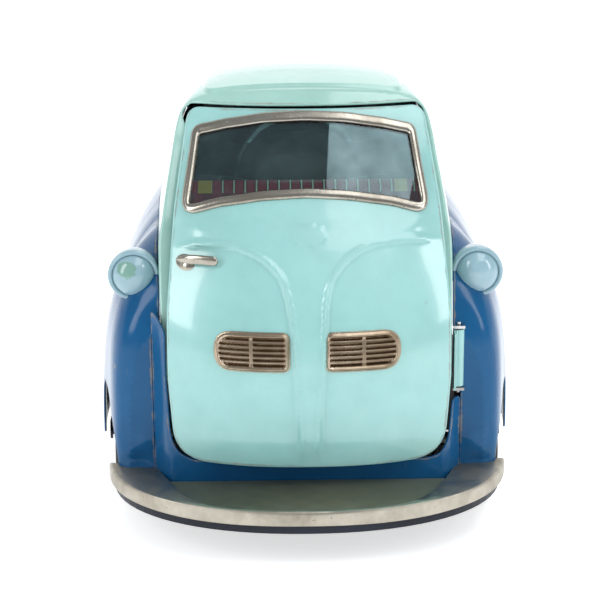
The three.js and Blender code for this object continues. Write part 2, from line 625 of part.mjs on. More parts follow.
function wheel(end, side) {
  const track = end === 'front' ? FRONT_TRACK : REAR_TRACK;
  const y = end === 'front' ? FRONT_AXLE_Y : REAR_AXLE_Y;
  const centre = [(side * track) / 2, y, WHEEL_RADIUS];
  const half = TYRE_WIDTH / 2;
  const name = `${end}_${side > 0 ? 'left' : 'right'}`;
  part(`tyre_${name}`, turned('x', [
    [8.5, -half + 0.6], [11.4, -half], [12.8, -half + 0.9], [WHEEL_RADIUS, -half + 2.4],
    [WHEEL_RADIUS, half - 2.4], [12.8, half - 0.9], [11.4, half], [8.5, half - 0.6], [8.5, -half + 0.6],
  ], centre, 20), 'rubber');
  const face = [
    [AXLE_RADIUS + GAP, -half + 1.2], [8.1, -half + 0.8], [8.1, half - 0.8], [6.6, half - 1.3],
    [5.4, half - 0.7], [3, half], [AXLE_RADIUS + GAP, half], [AXLE_RADIUS + GAP, -half + 1.2],
  ].map(([r, t]) => [r, side * t]);
  part(`hub_${name}`, turned('x', face, centre, 16), 'nickel');
}

function axle(end) {
  const track = end === 'front' ? FRONT_TRACK : REAR_TRACK;
  const y = end === 'front' ? FRONT_AXLE_Y : REAR_AXLE_Y;
  const half = track / 2 + TYRE_WIDTH / 2 + 0.6;
  part(`${end}_axle`, bar('x', AXLE_RADIUS, 0, -half, half, [0, y, WHEEL_RADIUS]), 'steel');
}

function axleBracket(side) {
  const hole = bar('x', AXLE_RADIUS + GAP, 0, -60, 60, [0, FRONT_AXLE_Y, WHEEL_RADIUS]);
  const x = side * 29;
  const outline = rounded([[35, 10.3, 0], [46, 10.3, 0], [44.5, 17.5, 3], [36.5, 17.5, 3]]);
  const upright = prism('x', outline, x - 0.4, x + 0.4);
  const foot = block(x - 3.4, 35, 10.25, x + 0.4, 46, 10.9);
  part(`axle_bracket_${side > 0 ? 'left' : 'right'}`, without(joined(upright, foot), hole), 'steel');
}

// ------------------------------------------------------------------ friction motor

const AXLE = [REAR_AXLE_Y, WHEEL_RADIUS];
const IDLER = [AXLE[0] - 8, AXLE[1] + 6];              // 10 mm from the axle
const FLYWHEEL = [IDLER[0] - 7.2, IDLER[1] + 5.4];     // 9 mm from the idler
const TEETH = { axle: 32, idlerPinion: 8, idler: 28, flywheel: 8 };

/** The turn, in teeth, that puts a gear in mesh with an unturned gear at another centre. */
function meshPhase(teeth, [y, z], otherTeeth, [otherY, otherZ]) {
  const towards = Math.atan2(z - otherZ, y - otherY) / (2 * Math.PI);
  return (towards + 0.5) * teeth + towards * otherTeeth - 0.5;
}

/** A spur gear on a shaft along x; teeth are narrow so that they run with backlash. */
function gear(teeth, bore, x0, x1, [y, z], phase = 0) {
  const pitch = (teeth * MODULE) / 2;
  const [tip, root] = [pitch + 0.28, pitch - 0.42];
  const outline = [];
  for (let i = 0; i < teeth; i += 1) {
    const a = ((i + phase) * 2 * Math.PI) / teeth;
    const width = (2 * Math.PI) / teeth;
    for (const [r, t] of [[root, -0.25], [tip, -0.1], [tip, 0.1], [root, 0.25]]) {
      outline.push([y + r * Math.cos(a + t * width), z + r * Math.sin(a + t * width)]);
    }
  }
  return prism('x', outline, x0, x1).subtract(prism('x', circle(y, z, bore, 16), x0 - 1, x1 + 1));
}

function buildMotor() {
  const plateOutline = rounded([
    [105.5, 10.4, 0], [142, 10.4, 0], [142, 27, 4], [130, 31.5, 4], [112, 31.5, 4], [105.5, 26, 4],
  ]);
  const posts = [[109, 14], [138.5, 26], [129, 28]];
  for (const side of [1, -1]) {
    const [inner, outer] = [side * 7.6, side * 8.4];
    const [x0, x1] = [Math.min(inner, outer), Math.max(inner, outer)];
    const foot = (y0, y1) => block(Math.min(side * 7.6, side * 12), y0, 10.4, Math.max(side * 7.6, side * 12), y1, 11);
    const hole = (y, z, r) => prism('x', circle(y, z, r, 20), x0 - 1, x1 + 1);
    part(`motor_plate_${side > 0 ? 'left' : 'right'}`, without(
      joined(prism('x', plateOutline, x0, x1), foot(105.5, 112), foot(139, 142)),
      hole(...AXLE, AXLE_RADIUS + GAP),
      hole(...IDLER, 1.35),
      hole(...FLYWHEEL, 1.35),
    ), 'steel');
  }
  posts.forEach(([y, z], i) => {
    part(`motor_spacer_${i + 1}`, bar('x', 1.2, 0, -7.25, 7.25, [0, y, z], 14), 'steel');
  });
  part('axle_gear', gear(TEETH.axle, AXLE_RADIUS + 0.3, -5, -3, AXLE), 'brass');
  part('idler_shaft', bar('x', 1, 0, -9, 9, [0, ...IDLER], 16), 'steel');
  const pinionPhase = meshPhase(TEETH.idlerPinion, IDLER, TEETH.axle, AXLE);
  part('idler_pinion', gear(TEETH.idlerPinion, 1.3, -5.4, -2.6, IDLER, pinionPhase), 'brass');
  part('idler_gear', gear(TEETH.idler, 1.3, 1.5, 3.5, IDLER), 'brass');
  part('flywheel_shaft', bar('x', 1, 0, -13.4, 13.4, [0, ...FLYWHEEL], 16), 'steel');
  const flyPhase = meshPhase(TEETH.flywheel, FLYWHEEL, TEETH.idler, IDLER);
  part('flywheel_pinion', gear(TEETH.flywheel, 1.3, 1.1, 3.9, FLYWHEEL, flyPhase), 'brass');
  for (const side of [1, -1]) {
    const disc = bar('x', 9.6, 1.3, Math.min(side * 9.2, side * 13), Math.max(side * 9.2, side * 13), [0, ...FLYWHEEL], 32);
    part(`flywheel_${side > 0 ? 'left' : 'right'}`, disc, 'iron');
  }
}

// ------------------------------------------------------------------ assembly

part('upper_body_shell', upperBodyShell(), 'turquoise');
part('lower_body_shell', lowerBodyShell(), 'blue');
part('base_plate', basePlate(), 'navy');
part('front_bumper', frontBumper(), 'nickel');
part('rear_bumper', rearBumper(), 'nickel');
headlamp(36.8, 1);
headlamp(-36.8, -1);
for (const side of [1, -1]) {
  tailLamp(side);
  axleBracket(side);
  wheel('front', side);
  wheel('rear', side);
}
axle('front');
axle('rear');
buildDoor();
buildBodyFittings();
buildMotor();

const car = new THREE.Group();
car.add(...parts);
car.position.y = -LENGTH / 2;

const model = new THREE.Group();
model.add(car);

export default model;
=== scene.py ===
"""Looks of the friction tin bubble car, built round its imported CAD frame.

Lengths in this file are millimetres in station coordinates: x runs across the car, y runs back
from the bumper face, z is the height above the floor. `metres` turns them into the frame's
metres. The pressed-tin pieces are curved sheets: each one is a surface function, an outline in
that surface's own two coordinates, and a profile that says how its edge is turned.
"""

import math

import bmesh
import bpy
import numpy as np
from mathutils import Euler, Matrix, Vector, geometry


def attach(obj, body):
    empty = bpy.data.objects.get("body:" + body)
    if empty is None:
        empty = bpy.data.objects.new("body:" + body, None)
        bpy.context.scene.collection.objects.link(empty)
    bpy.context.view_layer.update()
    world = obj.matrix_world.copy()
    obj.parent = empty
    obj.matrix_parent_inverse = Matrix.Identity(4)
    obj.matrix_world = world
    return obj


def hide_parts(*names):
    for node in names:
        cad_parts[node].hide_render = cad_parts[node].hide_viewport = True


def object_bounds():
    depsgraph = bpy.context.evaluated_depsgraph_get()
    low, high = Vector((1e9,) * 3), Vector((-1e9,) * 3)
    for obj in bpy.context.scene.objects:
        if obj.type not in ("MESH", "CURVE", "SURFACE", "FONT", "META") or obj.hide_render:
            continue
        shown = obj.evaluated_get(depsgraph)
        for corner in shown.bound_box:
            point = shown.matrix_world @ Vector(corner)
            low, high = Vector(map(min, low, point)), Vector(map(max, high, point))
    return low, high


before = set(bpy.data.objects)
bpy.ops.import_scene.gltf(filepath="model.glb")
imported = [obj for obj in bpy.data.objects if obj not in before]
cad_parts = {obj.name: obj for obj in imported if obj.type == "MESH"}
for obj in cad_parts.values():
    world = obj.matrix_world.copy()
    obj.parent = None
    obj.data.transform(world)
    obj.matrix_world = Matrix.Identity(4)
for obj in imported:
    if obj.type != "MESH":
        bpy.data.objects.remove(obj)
cad_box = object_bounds()


# ------------------------------------------------------------------ driving dimensions

HALF_LENGTH = (cad_box[1].y - cad_box[0].y) * 500
TIN = 0.5                 # thickness of the pressed sheet
WHEEL_RADIUS = 13.2
TYRE_WIDTH = 8.0
FRONT_AXLE_Y = 40.5
REAR_AXLE_Y = 132
TRACKS = {"front": 76, "rear": 37}
ARCH_RADIUS = 14.2
ROOF_APEX = (62.0, 93.2)  # y and z of the roof's highest point
CABIN_BASE = 30.0         # height at which the cabin's section starts
CABIN_TAIL = 155.6        # y at which the cabin's surface ends
SKIRT_BOTTOM = 10.4
SKIRT_FRONT = 24.5        # y of the fenders' flat front
SKIRT_TAIL = 160.5
DOOR_CENTRE_X = 0.5
DOOR_BOW = 7.5            # how far the door bends back, 30 mm from its middle
DOOR_DEPTH = 2.2          # depth of the door's turned-in edge
DOOR_TOP = 88.9
HEADER_SLOPE = 0.8        # rise of the roof's front edge above the door, per mm back
EMBOSS_CENTRE_X = 0.45

DOOR_PROFILE = [
    (12, 15.8), (17.5, 13.7), (25, 12), (34, 11.3), (44, 12.2), (54, 15.4),
    (63, 20.6), (71.5, 27.3), (80, 35.2), (88, 44.2), (92, 50.5),
]
ROOF_FRONT = [(18, 91.2), (40, 91.4), (50, 91.9), (56, 92.7), (62, 93.2), (66, 93.25)]
CABIN_HALF_WIDTH = [(18, 30.5), (24, 30.9), (35, 31.8), (46, 32.4), (60, 32.9), (76, 33.3)]
SKIRT_HALF_WIDTH = [
    (24.5, 38.5), (25.5, 40.3), (27, 41.5), (30, 42.5), (36, 43.6), (48, 45.8), (60, 47.1), (72, 47.2),
]
SKIRT_HEIGHT = [(24.5, 38), (25.5, 41), (27, 44), (30, 47.5), (36, 50.6), (48, 57), (60, 62), (75, 63)]
CABIN_SECTION = [
    (0, 1), (0.25, 1), (0.47, 0.997), (0.549, 0.985), (0.596, 0.939), (0.65, 0.888), (0.721, 0.86),
    (0.784, 0.839), (0.862, 0.809), (0.925, 0.745), (0.967, 0.608), (0.991, 0.365), (1, 0),
]
FRONT_SECTION = [
    (0, 1), (0.25, 1), (0.47, 0.997), (0.549, 0.985), (0.596, 0.965), (0.65, 0.945), (0.721, 0.918),
    (0.784, 0.892), (0.862, 0.864), (0.925, 0.832), (0.967, 0.755), (0.991, 0.5), (1, 0),
]
CABIN_TRIM = [(10, 30), (36, 40), (62, 46), (80, 53), (100, 55), (125, 54), (140, 50), (150, 46), (170, 44)]

SPACING = 1.0


def metres(points):
    """Station millimetres to frame metres."""
    return (np.asarray(points, float) - [0, HALF_LENGTH, 0]) / 1000


# ------------------------------------------------------------------ curves and outlines

def curve_through(points):
    """A smooth function through points, held level outside their range."""
    t, v = np.array(points, float).T
    ahead = np.r_[t[1:], t[-1]]
    behind = np.r_[t[0], t[:-1]]
    slope = (np.r_[v[1:], v[-1]] - np.r_[v[0], v[:-1]]) / (ahead - behind)

    def value(x):
        x = np.clip(np.asarray(x, float), t[0], t[-1])
        i = np.clip(np.searchsorted(t, x, side="right") - 1, 0, len(t) - 2)
        h = t[i + 1] - t[i]
        s = (x - t[i]) / h
        blend = s * s * (3 - 2 * s)
        pull = s * (1 - s) * h
        return v[i] + (v[i + 1] - v[i]) * blend + pull * ((1 - s) * slope[i] - s * slope[i + 1])

    return value


def smoothstep(a, b, t):
    s = np.clip((np.asarray(t, float) - a) / (b - a), 0, 1)
    return s * s * (3 - 2 * s)


def tailing(t, power):
    return np.maximum(0, 1 - np.clip(t, 0, None) ** power) ** (1 / power)


def rounded(corners):
    """A polygon whose corners (u, v, radius) are rounded."""
    outline = []
    count = len(corners)
    for i, (u, v, radius) in enumerate(corners):
        here = np.array([u, v], float)
        before = np.array(corners[i - 1][:2], float) - here
        after = np.array(corners[(i + 1) % count][:2], float) - here
        room = 0.49 * min(np.hypot(*before), np.hypot(*after))
        before /= np.hypot(*before)
        after /= np.hypot(*after)
        turn = math.pi - math.acos(np.clip(before @ after, -1, 1))
        if radius == 0 or turn < 0.02:
            outline.append(here)
            continue
        reach = min(radius * math.tan(turn / 2), room)
        start, end = here + before * reach, here + after * reach
        for t in np.linspace(0, 1, max(3, round(turn / 0.12))):
            outline.append((1 - t) ** 2 * start + 2 * t * (1 - t) * here + t * t * end)
    return np.array(outline)


def resampled(loop, spacing):
    """The same closed loop with evenly spaced points."""
    closed = np.vstack([loop, loop[:1]])
    length = np.r_[0, np.cumsum(np.hypot(*np.diff(closed, axis=0).T))]
    count = max(12, int(round(length[-1] / spacing)))
    at = np.linspace(0, length[-1], count, endpoint=False)
    return np.column_stack([np.interp(at, length, closed[:, k]) for k in range(closed.shape[1])])


def area(loop):
    x, y = loop.T
    return 0.5 * float(np.sum(x * np.roll(y, -1) - y * np.roll(x, -1)))


def ccw(loop, spacing=0.5):
    """The loop with evenly spaced points, counter-clockwise."""
    loop = resampled(loop, spacing)
    return loop if area(loop) > 0 else loop[::-1]


def grown(loop, distance):
    """Moves a counter-clockwise loop outwards by a distance (inwards when negative)."""
    along = np.roll(loop, -1, 0) - np.roll(loop, 1, 0)
    along /= np.maximum(np.hypot(*along.T), 1e-9)[:, None]
    return loop + np.column_stack([along[:, 1], -along[:, 0]]) * distance


def inside(points, loop):
    """True for each point that lies inside the closed loop."""
    x, y = points.T
    result = np.zeros(len(points), bool)
    for (x0, y0), (x1, y1) in zip(loop, np.roll(loop, -1, 0)):
        crosses = (y0 > y) != (y1 > y)
        at = (x1 - x0) * (y - y0) / (y1 - y0 + 1e-12) + x0
        result ^= crosses & (x < at)
    return result


def distance_to(points, line, closed=True):
    """Distance from each point to a line given by its corners."""
    best = np.full(len(points), 1e18)
    ends = np.roll(line, -1, 0) if closed else line[1:]
    for (ax, ay), (bx, by) in zip(line if closed else line[:-1], ends):
        dx, dy = bx - ax, by - ay
        px, py = points[:, 0] - ax, points[:, 1] - ay
        share = np.clip((px * dx + py * dy) / max(dx * dx + dy * dy, 1e-12), 0, 1)
        best = np.minimum(best, (px - share * dx) ** 2 + (py - share * dy) ** 2)
    return np.sqrt(best)


# ------------------------------------------------------------------ edge profiles

def hem(thickness, count=5):
    """A round edge, from the outer face over to the inner one, as (out, in) steps."""
    angle = np.linspace(0, math.pi, count + 1)
    return np.column_stack([thickness / 2 * np.sin(angle), thickness / 2 * (1 - np.cos(angle))])


def turned_in(thickness, radius, depth, count=5):
    """An edge that bends inwards through a right angle and ends in a flange."""
    angle = np.linspace(0, math.pi / 2, count + 1)
    bend = np.column_stack([radius * np.sin(angle), radius * (1 - np.cos(angle))])
    inner = max(radius - thickness, 0.05)
    back = np.column_stack([inner * np.sin(angle), thickness + inner * (1 - np.cos(angle))])[::-1]
    back[-1] = (0, thickness)
    tip = [(radius, depth), (radius - thickness / 2, depth + thickness / 3), (radius - thickness, depth)]
    return np.vstack([bend, tip, back])


# ------------------------------------------------------------------ mesh making

def make_object(name, points, faces, normals=None, inner_faces=None, edge=None):
    """A mesh object from station points; inner faces take the second material."""
    mesh = bpy.data.meshes.new(name)
    mesh.from_pydata([tuple(p) for p in metres(points)], [], [tuple(int(i) for i in f) for f in faces])
    mesh.polygons.foreach_set("use_smooth", [True] * len(mesh.polygons))
    if inner_faces is not None:
        mesh.polygons.foreach_set("material_index", np.asarray(inner_faces, int))
    if edge is not None:
        layer = mesh.attributes.new("edge", "FLOAT", "POINT")
        layer.data.foreach_set("value", np.asarray(edge, float))
    if normals is not None:
        mesh.normals_split_custom_set_from_vertices([tuple(n) for n in normals])
    mesh.update()
    obj = bpy.data.objects.new(name, mesh)
    bpy.context.scene.collection.objects.link(obj)
    return obj


def normals_of(place, uv, step=0.02):
    """Unit normals of a surface function by central differences."""
    du, dv = np.array([step, 0]), np.array([0, step])
    along_u = place(uv + du) - place(uv - du)
    along_v = place(uv + dv) - place(uv - dv)
    n = np.cross(along_u, along_v)
    return n / np.maximum(np.linalg.norm(n, axis=1), 1e-12)[:, None]


def triangulated(loops, spacing, creases=()):
    """Points and triangles that fill an outline with holes. The loops' points come first."""
    outer = loops[0]
    low, high = outer.min(0), outer.max(0)
    rows = np.arange(low[1] + spacing * 0.37, high[1], spacing * 0.87)
    grid = []
    for i, v in enumerate(rows):
        shift = spacing / 2 if i % 2 else 0
        u = np.arange(low[0] + spacing * 0.31 + shift, high[0], spacing)
        grid.append(np.column_stack([u, np.full(len(u), v)]))
    grid = np.vstack(grid)
    keep = inside(grid, outer)
    for hole in loops[1:]:
        keep &= ~inside(grid, hole)
    grid = grid[keep]
    for loop in [*loops, *creases]:
        grid = grid[distance_to(grid, loop) > spacing * 0.55]
    points = np.vstack([*loops, *creases, grid])
    edges = []
    start = 0
    for loop in [*loops, *creases]:
        count = len(loop)
        edges += [(start + i, start + (i + 1) % count) for i in range(count)]
        start += count
    found = geometry.delaunay_2d_cdt([Vector(p) for p in points], edges, [], 0, 1e-7)
    if len(found[0]) != len(points):
        raise RuntimeError("the outline crosses itself")
    order = {i: (source[0] if source else i) for i, source in enumerate(found[3])}
    triangles = np.array([[order[i] for i in face] for face in found[2]])
    middle = points[triangles].mean(1)
    keep = inside(middle, outer)
    for hole in loops[1:]:
        keep &= ~inside(middle, hole)
    return points, triangles[keep]


def sheet(name, place, loops, edges, thickness=TIN, spacing=SPACING, outward=1, creases=()):
    """A closed sheet over an outline with holes on a surface; each loop has its edge profile."""
    loops = [resampled(loop, spacing * 0.8) for loop in loops]
    loops = [loop if (area(loop) > 0) == (k == 0) else loop[::-1] for k, loop in enumerate(loops)]
    creases = [resampled(loop, spacing * 0.6) for loop in creases]
    uv, triangles = triangulated(loops, spacing, creases)
    base = normals_of(place, uv)
    normal = base * outward
    outer = place(uv)
    count = len(uv)
    points = [outer, outer - normal * thickness]
    vertex_normals = [normal, -normal]
    rim = np.exp(-np.min([distance_to(uv, loop) for loop in loops], 0) / 0.6)
    edge = [rim, np.zeros(count)]
    flip = triangles[:, ::-1]
    faces = [*(triangles if outward > 0 else flip), *((flip if outward > 0 else triangles) + count)]
    inner = [0] * len(triangles) + [1] * len(triangles)
    total = 2 * count
    start = 0
    for loop, profile in zip(loops, edges):
        size = len(loop)
        ids = np.arange(start, start + size)
        start += size
        p, n, n0 = outer[ids], normal[ids], base[ids]
        along = np.roll(p, -1, 0) - np.roll(p, 1, 0)
        out = np.cross(along, n0)
        out /= np.linalg.norm(out, axis=1)[:, None]
        if isinstance(profile, tuple):
            weight = profile[2](p)[:, None, None]
            profile = profile[0] * (1 - weight) + profile[1] * weight
        else:
            profile = np.repeat(profile[None], size, 0)
        direction = np.gradient(profile, axis=1)
        direction /= np.maximum(np.linalg.norm(direction, axis=2), 1e-9)[:, :, None]
        rows = [ids]
        for k in range(1, profile.shape[1] - 1):
            points.append(p + out * profile[:, k, :1] - n * profile[:, k, 1:])
            vertex_normals.append(out * direction[:, k, 1:] + n * direction[:, k, :1])
            edge.append(np.full(size, 0.6))
            rows.append(np.arange(total, total + size))
            total += size
        rows.append(ids + count)
        for k in range(len(rows) - 1):
            first, second = rows[k], rows[k + 1]
            for i in range(size):
                j = (i + 1) % size
                quad = (first[i], second[i], second[j], first[j])
                faces.append(quad if outward > 0 else quad[::-1])
                inner.append(0 if k < (len(rows) - 1) / 2 else 1)
    return make_object(
        name, np.vstack(points), faces, np.vstack(vertex_normals), inner, np.concatenate(edge)
    )


def grid_object(name, rows, closed_u=False, closed_v=False, cap=False):
    """A mesh from rows of points. closed_u joins each row's ends, closed_v joins first and last row."""
    rows = np.asarray(rows, float)
    count, size = rows.shape[:2]
    faces = []
    for i in range(count if closed_v else count - 1):
        for j in range(size if closed_u else size - 1):
            i2, j2 = (i + 1) % count, (j + 1) % size
            faces.append((i * size + j, i * size + j2, i2 * size + j2, i2 * size + j))
    points = rows.reshape(-1, 3)
    if cap:
        for row, flip in ((0, True), (count - 1, False)):
            centre = len(points)
            points = np.vstack([points, rows[row].mean(0)])
            for j in range(size):
                a, b = row * size + j, row * size + (j + 1) % size
                faces.append((centre, b, a) if flip else (centre, a, b))
    obj = make_object(name, points, faces)
    clean_up(obj)
    return obj


def clean_up(obj, close_ends=False):
    """Joins doubled points, or fills open ends; points the faces outwards and marks hard edges."""
    bm = bmesh.new()
    bm.from_mesh(obj.data)
    if close_ends:
        bmesh.ops.holes_fill(bm, edges=[e for e in bm.edges if e.is_boundary])
    else:
        bmesh.ops.remove_doubles(bm, verts=bm.verts, dist=1e-6)
    bmesh.ops.recalc_face_normals(bm, faces=bm.faces)
    bm.to_mesh(obj.data)
    bm.free()
    obj.data.polygons.foreach_set("use_smooth", [True] * len(obj.data.polygons))
    obj.data.set_sharp_from_angle(angle=math.radians(42))


def lathe(name, axis, profile, centre, segments=72):
    """A turned piece; the profile's points are (radius, distance along the axis)."""
    angle = np.linspace(0, 2 * math.pi, segments, endpoint=False)
    rows = []
    for r, t in profile:
        along, u, v = np.full(segments, float(t)), r * np.cos(angle), r * np.sin(angle)
        rows.append(np.column_stack([along, u, v] if axis == "x" else [u, along, v]) + centre)
    return grid_object(name, rows, closed_u=True)


def soft_profile(points, radius=0.25, count=4):
    """An open polyline with its inner corners rounded."""
    points = np.array(points, float)
    result = [points[0]]
    for i in range(1, len(points) - 1):
        before, here, after = points[i - 1:i + 2]
        back, on = before - here, after - here
        reach = min(radius, 0.45 * np.hypot(*back), 0.45 * np.hypot(*on))
        start = here + back / np.hypot(*back) * reach
        end = here + on / np.hypot(*on) * reach
        for t in np.linspace(0, 1, count):
            result.append((1 - t) ** 2 * start + 2 * t * (1 - t) * here + t * t * end)
    result.append(points[-1])
    return np.array(result)


# ------------------------------------------------------------------ materials

def plug(node, inputs):
    """Links each named or numbered input to a socket, or sets it to a value."""
    for key, value in inputs.items():
        if isinstance(value, bpy.types.NodeSocket):
            node.id_data.links.new(value, node.inputs[key])
        else:
            node.inputs[key].default_value = value


def new_material(name):
    """A material, a maker of its nodes, its shader, and the place on the object in metres.

    make(kind, settings, Scale=2, _0=socket) fills inputs by name, or by number after a line.
    """
    material = bpy.data.materials.new(name)
    material.use_nodes = True
    tree = material.node_tree

    def make(kind, settings=None, **inputs):
        node = tree.nodes.new(kind)
        for key, value in (settings or {}).items():
            setattr(node, key, value)
        plug(node, {int(key[1:]) if key[0] == "_" else key: value for key, value in inputs.items()})
        return node

    where = make("ShaderNodeTexCoord").outputs["Object"]
    return material, make, tree.nodes["Principled BSDF"], where


def rgb(*value):
    """An sRGB colour (0 to 255) as linear values."""
    def linear(c):
        c /= 255
        return c / 12.92 if c <= 0.04045 else ((c + 0.055) / 1.055) ** 2.4
    return (*[linear(c) for c in value], 1.0)


def grey(v):
    return (v, v, v, 1)


def dimmed(colour, share):
    return (*[share * c for c in colour[:3]], 1)


def ramp(make, factor, *stops):
    """A colour ramp; stops are (position, colour)."""
    node = make("ShaderNodeValToRGB", _0=factor)
    elements = node.color_ramp.elements
    while len(elements) < len(stops):
        elements.new(0.5)
    for element, (position, colour) in zip(elements, stops):
        element.position = position
        element.color = colour
    return node.outputs["Color"]


def stripes(make, factor, *stops):
    """A colour ramp with sharp steps."""
    colour = ramp(make, factor, *stops)
    colour.node.color_ramp.interpolation = "CONSTANT"
    return colour


def fade(make, factor, start, end, low=0.0, high=1.0):
    """Goes from low, where the factor is at start, to high, where it is at end."""
    return ramp(make, factor, (start, grey(low)), (end, grey(high)))


def mix(make, factor, a, b, mode="MIX"):
    node = make("ShaderNodeMix", {"data_type": "RGBA", "blend_type": mode}, _0=factor, _6=a, _7=b)
    return node.outputs[2]


def maths(make, operation, a, b):
    return make("ShaderNodeMath", {"operation": operation}, _0=a, _1=b).outputs[0]


def spread(make, factor, low, high, start=0.0, end=1.0):
    """The factor's stretch from start to end, mapped to low and high."""
    return make("ShaderNodeMapRange", _0=factor, _1=start, _2=end, _3=low, _4=high).outputs[0]


def blend_value(make, factor, a, b):
    return make("ShaderNodeMix", {"data_type": "FLOAT"}, _0=factor, _2=a, _3=b).outputs[0]


def noise(make, where, scale, detail, roughness, distortion=0.0):
    node = make("ShaderNodeTexNoise", Vector=where, Scale=scale, Detail=detail, Roughness=roughness,
                Distortion=distortion)
    return node.outputs["Fac"]


def streaks(make, where, scale, turn, start, end):
    """Hairline scratches along one direction."""
    stretched = make("ShaderNodeMapping", Vector=where, Scale=scale, Rotation=turn).outputs[0]
    return fade(make, noise(make, stretched, 1.0, 2, 0.5), start, end)


def bump(make, height, strength, distance, under=None, sunk=False):
    """A bumped normal, on top of another one when given."""
    node = make("ShaderNodeBump", {"invert": sunk}, Strength=strength, Distance=distance, Height=height)
    if under:
        plug(node, {"Normal": under})
    return node.outputs[0]


BARE_TIN = (0.32, 0.27, 0.21, 1)


def enamel(name, base, darker, lighter, roughness=0.16, wear=1.0, chips=1.0, coat=0.5, shine=0.5, patch=None):
    """Old stoving enamel on tin: faint mottling, an uneven gloss, chips, and rubbed edges.

    patch is (centre, radius, colour) of a spot where the top coat has gone.
    """
    material, make, shader, where = new_material(name)
    fine = noise(make, where, 260, 4, 0.65)
    tone = ramp(make, noise(make, where, 22, 4, 0.6), (0.28, darker), (0.5, base), (0.74, lighter))
    tone = mix(make, 0.1, tone, ramp(make, fine, (0.35, darker), (0.65, lighter)))
    if patch:
        centre, radius, under = patch
        away = make("ShaderNodeVectorMath", {"operation": "DISTANCE"}, _0=where, _1=centre).outputs["Value"]
        away = maths(make, "DIVIDE", away, 2 * radius)
        away = maths(make, "ADD", away, noise(make, where, 240, 4, 0.6))
        tone = mix(make, fade(make, away, 0.93, 0.96, 1, 0), tone, under)

    specks = make("ShaderNodeTexVoronoi", {"feature": "F1"}, Vector=where, Scale=190.0, Randomness=1.0)
    near = fade(make, specks.outputs["Distance"], 0.05, 0.16, 1, 0)
    chip = maths(make, "MULTIPLY", near, fade(make, noise(make, where, 38, 2, 0.5), 0.66, 0.7))
    scratch = streaks(make, where, (900.0, 900.0, 60.0), (0.5, 0.35, 0.2), 0.765, 0.785)
    scratch = maths(make, "MULTIPLY", scratch, fade(make, noise(make, where, 14, 2, 0.5), 0.5, 0.6))
    chip = maths(make, "MULTIPLY", chip, chips)
    chip = maths(make, "MAXIMUM", chip, maths(make, "MULTIPLY", scratch, 0.5 * chips))

    edge = make("ShaderNodeAttribute", {"attribute_name": "edge"}).outputs["Fac"]
    uneven = maths(make, "ADD", noise(make, where, 150, 4, 0.7), 0.12)
    rubbed = fade(make, maths(make, "MULTIPLY", edge, uneven), 0.5, 0.66)
    worn = maths(make, "MAXIMUM", chip, maths(make, "MULTIPLY", rubbed, 0.75 * wear))

    bare = ramp(make, fine, (0.3, dimmed(BARE_TIN, 0.45)), (0.7, BARE_TIN))
    grime = fade(make, noise(make, where, 60, 5, 0.7), 0.35, 0.6, 0.86, 1)
    gloss = spread(make, noise(make, where, 70, 4, 0.6), roughness * 0.7, roughness * 1.6)
    low = bump(make, noise(make, where, 34, 3, 0.5), 0.1, 0.0007)
    peel = bump(make, noise(make, where, 420, 2, 0.5), 0.05, 0.0002, low)
    plug(shader, {
        "Base Color": mix(make, worn, mix(make, 0.5, tone, grime, "MULTIPLY"), bare),
        "Roughness": blend_value(make, worn, gloss, 0.5),
        "Coat Weight": coat,
        "Coat Roughness": 0.06,
        "Specular IOR Level": shine,
        "IOR": 1.5,
        "Normal": bump(make, worn, 0.6, 0.00008, peel, sunk=True),
        "Coat Normal": peel,
    })
    return material


def plated(name, bright, dull, roughness=0.22):
    """Aged plating: cloudy tarnish, fine pits and an uneven polish."""
    material, make, shader, where = new_material(name)
    cloud = noise(make, where, 75, 5, 0.7, 0.4)
    pits = fade(make, noise(make, where, 620, 3, 0.7), 0.68, 0.75)
    gloss = spread(make, cloud, roughness * 1.7, roughness * 0.75, 0.3, 0.7)
    grain = bump(make, noise(make, where, 330, 4, 0.6), 0.16, 0.0002)
    plug(shader, {
        "Base Color": mix(make, pits, ramp(make, cloud, (0.3, dull), (0.62, bright)), dimmed(dull, 0.3)),
        "Metallic": 1,
        "Roughness": blend_value(make, pits, gloss, 0.75),
        "Normal": bump(make, pits, 0.5, 0.0001, grain, sunk=True),
    })
    return material


def plain(name, base, dark, roughness, scale, bumps, coat=0.0):
    """A non-metal with gentle mottling: rubber or a plastic lens."""
    material, make, shader, where = new_material(name)
    cloud = noise(make, where, scale * 0.3, 4, 0.6)
    fine = noise(make, where, scale * 3, 3, 0.6)
    plug(shader, {
        "Base Color": ramp(make, cloud, (0.3, dark), (0.7, base)),
        "Roughness": spread(make, fine, roughness * 0.8, roughness * 1.2),
        "Coat Weight": coat,
        "Normal": bump(make, fine, bumps, 0.0002),
    })
    return material


